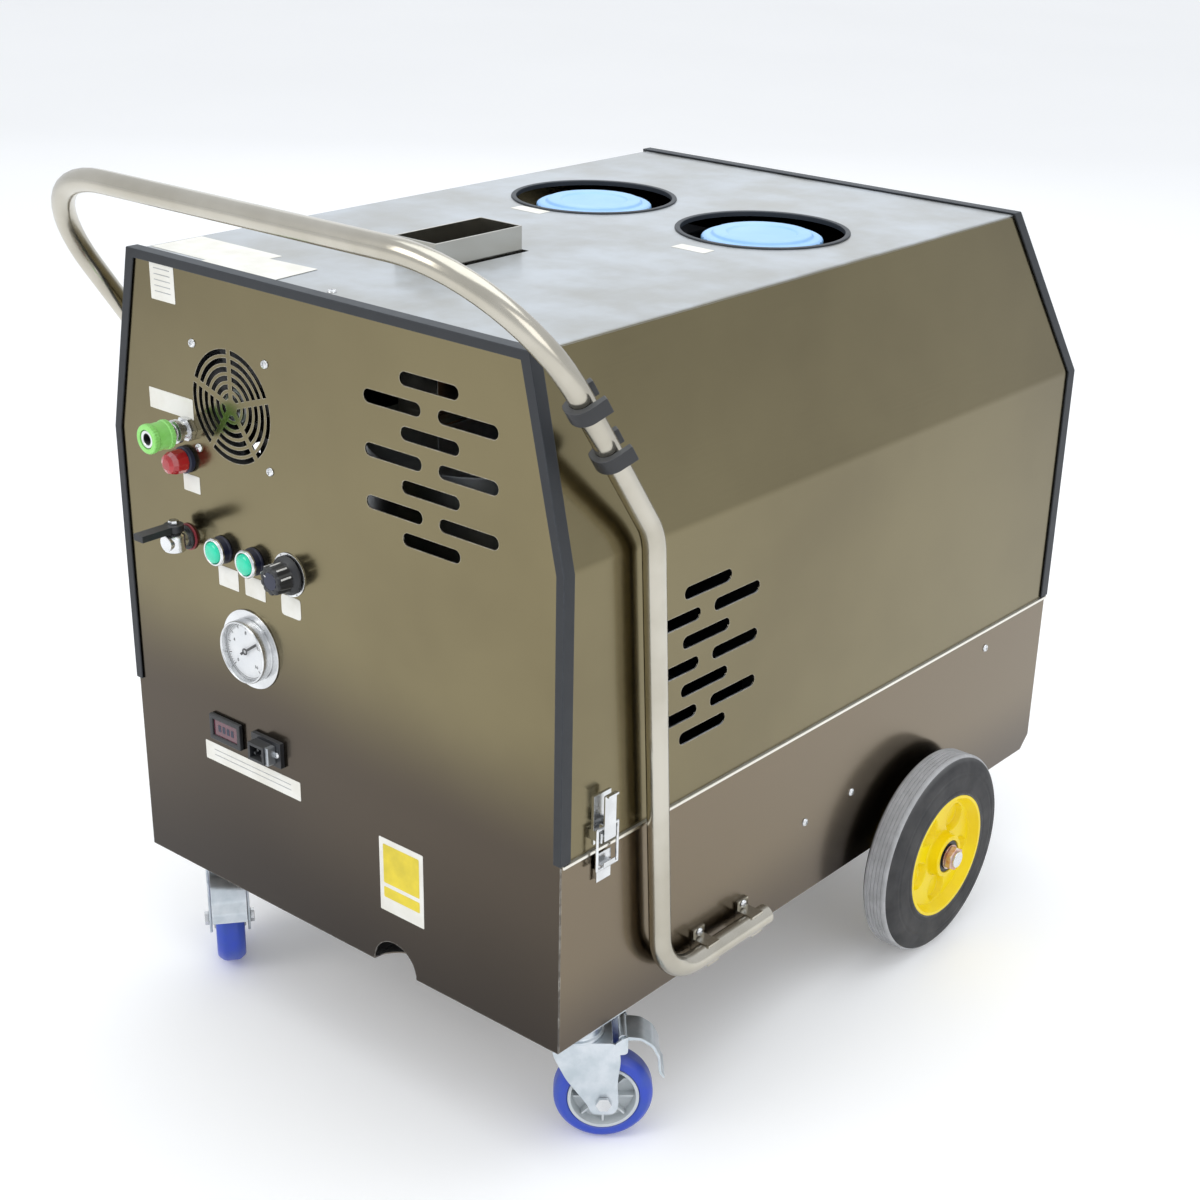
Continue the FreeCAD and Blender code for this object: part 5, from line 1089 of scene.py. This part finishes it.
def buildKnob():
    knob = {"radius": 0.0158, "flutes": 10, "fluteDeep": 0.0016, "skirt": 0.0198, "plate": 0.0224}
    spot = panelSpot("pressure_knob")
    top = 0.0258

    def fluted(radius, height, turn):
        if not 0.010 < radius < 0.0165 or height < 0.0085:
            return radius, height
        wave = 0.5 + 0.5 * math.cos(knob["flutes"] * turn)
        return radius - knob["fluteDeep"] * wave ** 2, height

    radius = knob["radius"]
    grip = [(0.0031, 0.0026), (knob["skirt"], 0.0026), (knob["skirt"], 0.0046), (radius + 0.0022, 0.0068),
            (radius + 0.0004, 0.0088), (radius, 0.0110), (radius - 0.0006, 0.0170),
            (radius - 0.0012, top - 0.0016), (radius - 0.0028, top - 0.0002), (0.0098, top),
            (0.0092, top - 0.0008), (0, top - 0.0008)]
    profile = softCorners(grip, 0.0005, 2, False) + [Vector((0, 0.0145)), Vector((0.0031, 0.0145))]
    addPiece("knobGrip", moved(lathe(profile, 120, change=fluted), spot), "blackPlastic", "knob",
             ("pressure_knob",), 40.0)
    mark = slab(rectangle(0.0007, 0.0018), 0.0125, 0.0002)
    marks = ringOf(moved(mark, Matrix.Translation((0, 0, 0.0110))), 5, radius - 0.00035, "markWhite",
                   math.radians(18), math.radians(36))
    pointer = moved(slab(rectangle(0.0044, 0.0012), 0.0004, 0.0001),
                    Matrix.Translation((-0.0075, 0.0045, top - 0.0006))
                    @ Matrix.Rotation(math.radians(150), 4, "Z"))
    addPiece("knobMarks", moved(joined(marks, pointer), spot), "markWhite", "knob")
    cap = turned([(0, top - 0.0010), (0.0088, top - 0.0010), (0.0088, top - 0.0004), (0, top - 0.0002)],
                 0.0002, 2, 40, closed=False)
    addPiece("knobCap", moved(cap, spot), "darkBlue", "knob")
    plate = turned([(0.0034, 0.0001), (knob["plate"], 0.0001), (knob["plate"], 0.0012), (0.0034, 0.0016)],
                   0.0003, 2, 80)
    post = lathe([(0, -0.030), (0.0048, -0.030), (0.0048, -0.0002), (0, -0.0002)], 30, closed=False)
    addPiece("dialPlate", moved(joined(plate, post), spot), "brightSteel", "chassis")
    tick = slab(rectangle(0.0016, 0.0004), 0.0002, 0)
    ticks = ringOf(moved(tick, Matrix.Translation((0, 0, 0.00155))), 11, 0.0211, "markBlack",
                   math.radians(-60), math.radians(30))
    addPiece("dialTicks", moved(ticks, spot), "markBlack", "chassis")


def buildGauge():
    gauge = {"firstMark": 225.0, "sweep": -270.0, "largeMarks": 11, "smallMarks": 51,
             "figures": ("0", "4", "8", "12", "16")}
    spot = panelSpot("gauge_case")
    out, radius, flange = 0.0140, 0.0330, 0.0419
    case = [(0, 0.0060), (0.0302, 0.0060), (0.0302, 0.0124), (0.0310, out - 0.0002), (0.0322, out),
            (radius, 0.0128), (radius, 0.0040), (radius - 0.0008, 0.0032), (radius - 0.0008, 0.0020),
            (flange, 0.0020), (flange, 0.0001), (radius - 0.0006, 0.0), (radius - 0.0006, -0.0320),
            (0.0069, -0.0330), (0.0069, -0.0499), (0, -0.0499)]
    addPiece("gaugeCase", moved(turned(case, 0.0006, 3, 96, closed=False), spot), "brightSteel", "chassis",
             ("gauge_case",))
    face = lathe([(0, 0.0061), (0.0300, 0.0061), (0.0300, 0.0066), (0, 0.0066)], 72, closed=False)
    addPiece("gaugeFace", moved(face, spot), "dialWhite", "chassis")
    marks = []
    for count, long, wide, at in ((gauge["largeMarks"], 0.0040, 0.0007, 0.0262),
                                  (gauge["smallMarks"], 0.0022, 0.0003, 0.0271)):
        mark = moved(slab(rectangle(long, wide), 0.0002, 0), Matrix.Translation((0, 0, 0.00665)))
        marks.append(ringOf(mark, count, at, "markBlack", math.radians(gauge["firstMark"]),
                            math.radians(gauge["sweep"] / (count - 1))))
    arc = lathe([(0.0286, 0.00665), (0.0290, 0.00665), (0.0290, 0.0068), (0.0286, 0.0068)], 72)
    marks += [arc, figuresOnRing(gauge["figures"], 0.0195, 0.0050, gauge["firstMark"], gauge["sweep"],
                                 0.0068)]
    addPiece("gaugeMarks", moved(joined(*marks), spot), "markBlack", "chassis")
    softened("gauge_pointer", "markBlack", 0.0001)
    lens = turned([(0, 0.0131), (0.0298, 0.0127), (0.0298, 0.0117), (0, 0.0121)], 0.0003, 2, 72, closed=False)
    addPiece("gaugeLens", moved(lens, spot), "gaugeGlass", "chassis", ("gauge_lens",))


def buildLamp():
    lamp = {"facets": 12}
    spot = panelSpot("alarm_lamp")
    base = [(0, -0.030), (0.0108, -0.030), (0.0108, 0.0001), (0.0139, 0.0001), (0.0139, 0.0048),
            (0.0128, 0.0060), (0.0085, 0.0060), (0.0085, 0.0075), (0, 0.0075)]
    addPiece("lampBase", moved(turned(base, 0.0006, 2, 48, closed=False), spot), "darkBlue", "chassis",
             ("alarm_lamp",))
    dome = [(0, 0.0062), (0.0122, 0.0062), (0.0124, 0.0105), (0.0118, 0.0185), (0.0098, 0.0235),
            (0.0055, 0.0256), (0, 0.0259)]
    addPiece("lampDome", moved(lathe(dome, lamp["facets"], closed=False), spot), "lensRed", "chassis",
             (), 12.0)


def buildInlet():
    inlet = {"knurls": 28, "nut": 0.0129}
    centre = middle("inlet_sleeve")
    spot = onPanel(centre.x, centre.z)
    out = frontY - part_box("panel_fittings")[0].y
    nut = slab(polygon(6, inlet["nut"]), 0.0076, 0.0007)
    stem = [(0.0054, 0.0130), (0.0088, 0.0130), (0.0088, 0.0078), (0.0050, 0.0078), (0.0050, -0.0398),
            (0, -0.0398), (0, 0.0128)]
    body = [(0.0055, 0.0125), (0.0055, out - 0.0008), (0.0062, out), (0.0086, out), (0.0089, out - 0.0006),
            (0.0089, 0.0206), (0.0118, 0.0198), (0.0118, 0.0146), (0.0089, 0.0138), (0.0089, 0.0078),
            (0.0050, 0.0078), (0.0050, 0.0125)]
    mesh = joined(nut, turned(body, 0.0004, 2, 56), lathe(stem, 40))
    addPiece("inletStem", moved(mesh, spot), "brightSteel", "chassis", ("panel_fittings",))
    low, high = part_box("inlet_sleeve")
    near, far = frontY - high.y, frontY - low.y
    ring = [(0.0094, near), (0.0140, near), (0.0148, near + 0.0010), (0.0148, near + 0.0045),
            (0.0138, near + 0.0058), (0.0138, far - 0.0075), (0.0149, far - 0.0060), (0.0149, far - 0.0012),
            (0.0136, far), (0.0096, far)]

    def knurled(radius, height, turn):
        if radius > 0.0145:
            return radius - 0.0006 * (0.5 + 0.5 * math.cos(inlet["knurls"] * turn)), height
        return radius, height

    addPiece("inletSleeve", moved(turned(ring, 0.0005, 2, 168, change=knurled), spot), "anodisedGreen",
             "inlet_sleeve", ("inlet_sleeve",), 40.0)
    tooth = moved(slab(rectangle(0.0016, 0.0022, 0.0003), 0.0030, 0.0002),
                  Matrix.Translation((0, 0, out - 0.0100)))
    star = ringOf(tooth, 4, 0.0050, "blackPlastic", math.radians(45))
    bore = lathe([(0.0040, out - 0.0300), (0.0054, out - 0.0300), (0.0054, out - 0.0004),
                  (0.0050, out - 0.0004)], 40)
    addPiece("inletSeal", moved(joined(star, bore), spot), "blackPlastic", "chassis")

    valve = middle("valve_lever")
    rowZ = middle("button_start").z
    leverSpot = onPanel(valve.x, rowZ)
    axisOut = frontY - joints["valve_turn"]["pos_m"][1]
    run = [(0, -0.0420), (0.0086, -0.0420), (0.0086, axisOut + 0.0115), (0.0070, axisOut + 0.0120),
           (0, axisOut + 0.0120)]
    washer = [(0.0088, 0.0002), (0.0139, 0.0002), (0.0139, 0.0022), (0.0088, 0.0022)]
    house = turned([(0, rowZ - 0.0100), (0.0108, rowZ - 0.0100), (0.0108, rowZ + 0.0060),
                    (0.0060, rowZ + 0.0096), (0.0029, rowZ + 0.0100), (0.0029, rowZ + 0.0200),
                    (0, rowZ + 0.0200)], 0.0010, 3, 44, closed=False)
    topNut = moved(slab(polygon(6, 0.0054), 0.0040, 0.0005), Matrix.Translation((0, 0, rowZ + 0.0183)))
    upright = Matrix.Translation((valve.x, frontY - axisOut, 0))
    pieces = [moved(turned(run, 0.0006, 2, 48, closed=False), leverSpot), moved(house, upright),
              moved(topNut, upright)]
    addPiece("valveBody", joined(*pieces), "brightSteel", "chassis")
    red = turned(washer, 0.0004, 2, 48)
    black = turned([(0.0088, 0.0024), (0.0125, 0.0024), (0.0125, 0.0046), (0.0088, 0.0046)], 0.0004, 2, 48)
    addPiece("valveWasherRed", moved(red, leverSpot), "washerRed", "chassis")
    addPiece("valveWasherBlack", moved(black, leverSpot), "blackPlastic", "chassis")
    softened("valve_lever", "blackPlastic", 0.0014, 3)


def buildMeterAndSocket():
    softened("level_meter", "blackPlastic", 0.0009)
    softened("power_inlet", "blackPlastic", 0.0006)
    meterLow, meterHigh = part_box("level_meter")
    centre = (meterLow + meterHigh) / 2
    window = slab(rectangle(meterHigh.x - meterLow.x - 0.0104, meterHigh.z - meterLow.z - 0.0104, 0.0008),
                  0.0008, 0.0002)
    addPiece("meterWindow", moved(window, onPanel(centre.x, centre.z, 0.0021)), "windowRed", "chassis")
    digit = slab(rectangle(0.0042, 0.0075, 0.0004), 0.0002, 0)
    shadow = grown("row", digit, "darkBlue", Count=4, Step=(0.0066, 0.0, 0.0))
    addPiece("meterDigits", moved(shadow, onPanel(centre.x - 0.0099, centre.z, 0.0029)), "darkBlue",
             "chassis")
    plugLow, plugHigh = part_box("power_inlet")
    plug = (plugLow + plugHigh) / 2
    spots = [(Vector((x, frontY - 0.0049, plug.z)), (0, -1, 0))
             for x in (plugLow.x + 0.0040, plugHigh.x - 0.0055)]
    addPiece("socketScrews", screwsAt(spots, 0.0034, 0.0020), "brightSteel", "chassis")
    flap = slab(rectangle(0.0062, 0.0200, 0.0012), 0.0100, 0.0006)
    addPiece("socketFlap", moved(flap, onPanel(plug.x + 0.0118, plug.z, 0.0052)), "galvanised", "chassis")


buildButtons()
buildKnob()
buildGauge()
buildLamp()
buildInlet()
buildMeterAndSocket()
log("controls")

# Fan and labels.


def buildFan():
    fan = {"blades": 7, "pitch": 34.0, "hub": 0.0198, "tip": 0.0530, "deep": 0.022}
    low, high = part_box("fan_impeller")
    centre = Vector(joints["fan_spin"]["pos_m"])
    spot = Matrix.Translation((centre.x, 0, centre.z)) @ outward
    near, far = -high.y, -low.y
    softened("fan_frame", "blackPlastic", 0.0008)
    shape = bmesh.new()
    rows = []
    for i in range(9):
        share = i / 8
        radius = fan["hub"] - 0.001 + (fan["tip"] - fan["hub"] + 0.001) * share
        twist = math.radians(fan["pitch"] * (1.15 - 0.45 * share))
        row = []
        for side in (1, -1):
            for j in range(7):
                chord = (j / 6 - 0.5) * (0.021 + 0.010 * share)
                bow = 0.0022 * (1 - (2 * j / 6 - 1) ** 2)
                u = chord * math.cos(twist) - bow * math.sin(twist)
                w = chord * math.sin(twist) + bow * math.cos(twist) + side * 0.0006
                row.append(shape.verts.new((radius, u, w)))
        rows.append(row)
    for first, second in zip(rows, rows[1:]):
        for j in range(6):
            shape.faces.new((first[j], first[j + 1], second[j + 1], second[j]))
            shape.faces.new((first[7 + j + 1], first[7 + j], second[7 + j], second[7 + j + 1]))
        shape.faces.new((first[7], first[0], second[0], second[7]))
        shape.faces.new((first[6], first[13], second[13], second[6]))
    for row in (rows[0], rows[-1]):
        for j in range(6):
            shape.faces.new((row[j], row[j + 1], row[7 + j + 1], row[7 + j]))
    bmesh.ops.recalc_face_normals(shape, faces=shape.faces)
    depth = (near + far) / 2
    blade = moved(toMesh(shape), Matrix.Translation((0, 0, depth)))
    blades = ringOf(blade, fan["blades"], 0.0, "blackPlastic")
    hub = turned([(0, near), (fan["hub"], near), (fan["hub"], far - 0.0012),
                  (fan["hub"] - 0.0012, far - 0.0002), (0, far - 0.0002)], 0.0010, 3, 56, closed=False)
    addPiece("fanRotor", moved(joined(blades, hub), spot), "blackPlastic", "impeller",
             ("fan_impeller",))
    sticker = lathe([(0, far - 0.0002), (0.0165, far - 0.0002), (0.0165, far), (0, far)], 48, closed=False)
    addPiece("fanHubSticker", moved(sticker, spot), "galvanised", "impeller")


def addLabel(name, spot, wide, high, look="labelPaper", body="chassis", corner=0.0015, thick=0.0003):
    addPiece(name, moved(slab(rectangle(wide, high, corner, 3), thick, 0), spot), look, body)


def inkRows(name, spot, wide, rows, pitch, body="chassis"):
    bar = slab(rectangle(wide, 0.0009), 0.0001, 0)
    mesh = grown("row", bar, "labelInk", Count=rows, Step=(0.0, -pitch, 0.0))
    addPiece(name, moved(mesh, spot), "labelInk", body)


def buildLabels():
    labels = {"front": (("labelCorner", -0.214, 0.7965, 0.036, 0.039),
                        ("labelInlet", -0.2135, 0.6755, 0.067, 0.021),
                        ("labelLamp", -0.190, 0.598, 0.025, 0.018),
                        ("labelStart", -0.142, 0.5100, 0.030, 0.022),
                        ("labelStop", -0.102, 0.5100, 0.030, 0.022),
                        ("labelKnob", -0.0495, 0.5050, 0.028, 0.022),
                        ("labelMeter", -0.123, 0.3010, 0.148, 0.0215),
                        ("labelNotch", 0.0955, 0.2525, 0.061, 0.083))}
    for name, x, z, wide, high in labels["front"]:
        addLabel(name, onPanel(x, z, 0.00005), wide, high, corner=0.004 if name == "labelKnob" else 0.0012)
    spot = onPanel(0.0955, 0.2655, 0.0004)
    addLabel("labelNotchPatch", spot, 0.050, 0.044, "labelYellow", thick=0.0001)
    addLabel("labelNotchBand", onPanel(0.0955, 0.2330, 0.0004), 0.050, 0.012, "labelYellow", thick=0.0001)
    inkRows("inkCorner", onPanel(-0.214, 0.8080, 0.0004), 0.024, 5, 0.0056)
    inkRows("inkMeter", onPanel(-0.123, 0.3045, 0.0004), 0.120, 2, 0.0060)
    addLabel("labelTopA", Matrix.Translation((-0.196, -0.3480, hoodTop + 0.00005)), 0.120, 0.062, body="hood")
    addLabel("labelTopB", Matrix.Translation((-0.122, -0.3620, hoodTop + 0.00040))
             @ Matrix.Rotation(math.radians(4), 4, "Z"), 0.105, 0.058, body="hood")
    addLabel("labelLidA", Matrix.Translation((-0.119, 0.0180, hoodTop + 0.00005)), 0.042, 0.018, body="hood")
    addLabel("labelLidB", Matrix.Translation((0.119, -0.0020, hoodTop + 0.00005)), 0.042, 0.018, body="hood")


buildFan()
buildLabels()
log("fan and labels")

# Tank caps and what sits inside.


def buildCaps():
    cap = {"grips": 36, "gripDeep": 0.0012}
    for name in ("water", "fuel"):
        low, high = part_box(name + "_cap")
        centre = (low + high) / 2
        outer = (high.x - low.x) / 2
        base, top = low.z, high.z
        neck = 0.0572
        profile = [(neck, base), (outer - 0.0006, base), (outer, base + 0.0010), (outer, top - 0.0060),
                   (outer - 0.0035, top - 0.0038), (outer - 0.0100, top - 0.0035),
                   (outer - 0.0125, top - 0.0005), (outer - 0.0160, top), (outer - 0.0260, top - 0.0004),
                   (outer - 0.0285, top - 0.0022), (0.020, top - 0.0026), (0, top - 0.0026),
                   (0, base + 0.0136), (neck, base + 0.0136)]

        def gripped(radius, height, turn, outer=outer, top=top):
            if radius > outer - 0.0009 and height < top - 0.005:
                return radius - cap["gripDeep"] * (0.5 + 0.5 * math.cos(cap["grips"] * turn)) ** 3, height
            return radius, height

        mesh = lathe(softCorners(profile[:11], 0.0012, 3, False) + [Vector(p) for p in profile[11:]], 180,
                     change=gripped)
        addPiece(name + "Lid", moved(mesh, Matrix.Translation((centre.x, centre.y, 0))), "lidBlue",
                 name + "_cap", (name + "_cap",), 40.0)


def buildMotorFins():
    low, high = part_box("pump_motor")
    centre = (low + high) / 2
    radius = (high.y - low.y) / 2
    fin = slab(rectangle(0.120, 0.0016), 0.0030, 0.0003)
    fin = moved(fin, Matrix.Rotation(math.radians(90), 4, "Y"))
    ribs = ringOf(moved(fin, Matrix.Translation((-0.0035, 0, 0))), 22, radius - 0.0002, "motorBlue")
    axis = along((centre.x - 0.012, centre.y, high.z - radius), (1, 0, 0))
    addPiece("motorFins", moved(ribs, axis), "motorBlue", "chassis")


buildCaps()
for node, look, width in (("boiler_shell", "galvanised", 0.0015), ("burner_blower", "burnerRed", 0.0020),
                          ("water_tank", "tankBlack", 0.0060), ("fuel_tank", "tankBlack", 0.0060),
                          ("pump_head", "brassCast", 0.0020), ("pump_motor", "motorBlue", 0.0020),
                          ("relay_board", "framePaint", 0.0010), ("steam_pipe", "copperTube", 0.0004),
                          ("safety_valve", "brassCast", 0.0008)):
    softened(node, look, width)
nodes["heating_coil"].data.materials.clear()
nodes["heating_coil"].data.materials.append(finishes["copperTube"])
log("inside")

# Floor, light and camera.


def buildStage():
    floorMesh = bpy.data.meshes.new("floor")
    reach = 40.0
    floorMesh.from_pydata([(-reach, -reach, 0), (reach, -reach, 0), (reach, reach, 0), (-reach, reach, 0)],
                          [], [(0, 1, 2, 3)])
    floorMesh.materials.append(finish("paleFloor", (0.93, 0.93, 0.93), shade=(0.91, 0.91, 0.91), rough=0.75,
                                      dust=0.0, wear=0.0, patches=0.8,
                                      fixed={"Emission Color": (1.0, 1.0, 1.0, 1.0),
                                             "Emission Strength": 0.13}))
    loose("floor", floorMesh)
    world = bpy.data.worlds.new("studio")
    world.use_nodes = True
    bpy.context.scene.world = world
    tree = world.node_tree
    around = tree.nodes["Background"]
    around.inputs["Color"].default_value = (0.93, 0.96, 1.0, 1)
    around.inputs["Strength"].default_value = 0.85
    seen = tree.nodes.new("ShaderNodeBackground")  # the wall the camera sees is as pale as the floor
    seen.inputs["Color"].default_value = (0.97, 0.98, 1.0, 1)
    blend = tree.nodes.new("ShaderNodeMixShader")
    tree.links.new(tree.nodes.new("ShaderNodeLightPath").outputs["Is Camera Ray"], blend.inputs[0])
    tree.links.new(around.outputs[0], blend.inputs[1])
    tree.links.new(seen.outputs[0], blend.inputs[2])
    tree.links.new(blend.outputs[0], tree.nodes["World Output"].inputs["Surface"])
    lights = (("overhead", (0.2, 0.4, 3.4), (0, 0, 0), 3.2, 48.0, (0.95, 0.98, 1.0)),
              ("behindLeft", (-2.8, 3.2, 2.4), (0, 0, 0.6), 3.4, 14.0, (0.92, 0.96, 1.0)),
              ("key", (-1.2, -3.4, 2.6), (0, 0, 0.4), 2.0, 34.0, (1.0, 0.98, 0.95)),
              ("fill", (3.4, -1.0, 1.8), (0, 0, 0.4), 2.0, 16.0, (1.0, 0.98, 0.96)))
    for name, where, target, size, power, colour in lights:
        light = bpy.data.lights.new(name, "AREA")
        light.size = size
        light.energy = power
        light.color = colour
        thing = loose(name, light)
        thing.location = where
        thing.rotation_mode = "QUATERNION"
        thing.rotation_quaternion = (Vector(target) - Vector(where)).to_track_quat("-Z", "Y")


def buildCamera():
    view = {"target": (0.02056, 0.04375, 0.2899), "azimuth": 39.0, "elevation": 24.97, "roll": 1.66,
            "distance": 2.30775, "lens": 59.835, "shift": (-0.0270, 0.0720)}
    turn, lift, roll = (math.radians(view[key]) for key in ("azimuth", "elevation", "roll"))
    back = Vector((math.sin(turn) * math.cos(lift), -math.cos(turn) * math.cos(lift), math.sin(lift)))
    level = Vector((math.cos(turn), math.sin(turn), 0))
    up = back.cross(level)
    right = level * math.cos(roll) + up * math.sin(roll)
    up = back.cross(right)
    lens = bpy.data.cameras.new("camera")
    lens.lens = view["lens"]
    lens.sensor_width = 36.0
    lens.shift_x, lens.shift_y = view["shift"]
    lens.clip_start, lens.clip_end = 0.05, 200.0
    camera = loose("camera", lens)
    camera.matrix_world = (Matrix.Translation(Vector(view["target"]) + back * view["distance"]) @
                           Matrix((right, up, back)).transposed().to_4x4())
    bpy.context.scene.camera = camera


buildStage()
buildCamera()
bpy.context.scene.view_settings.view_transform = "Standard"
log("stage and camera")
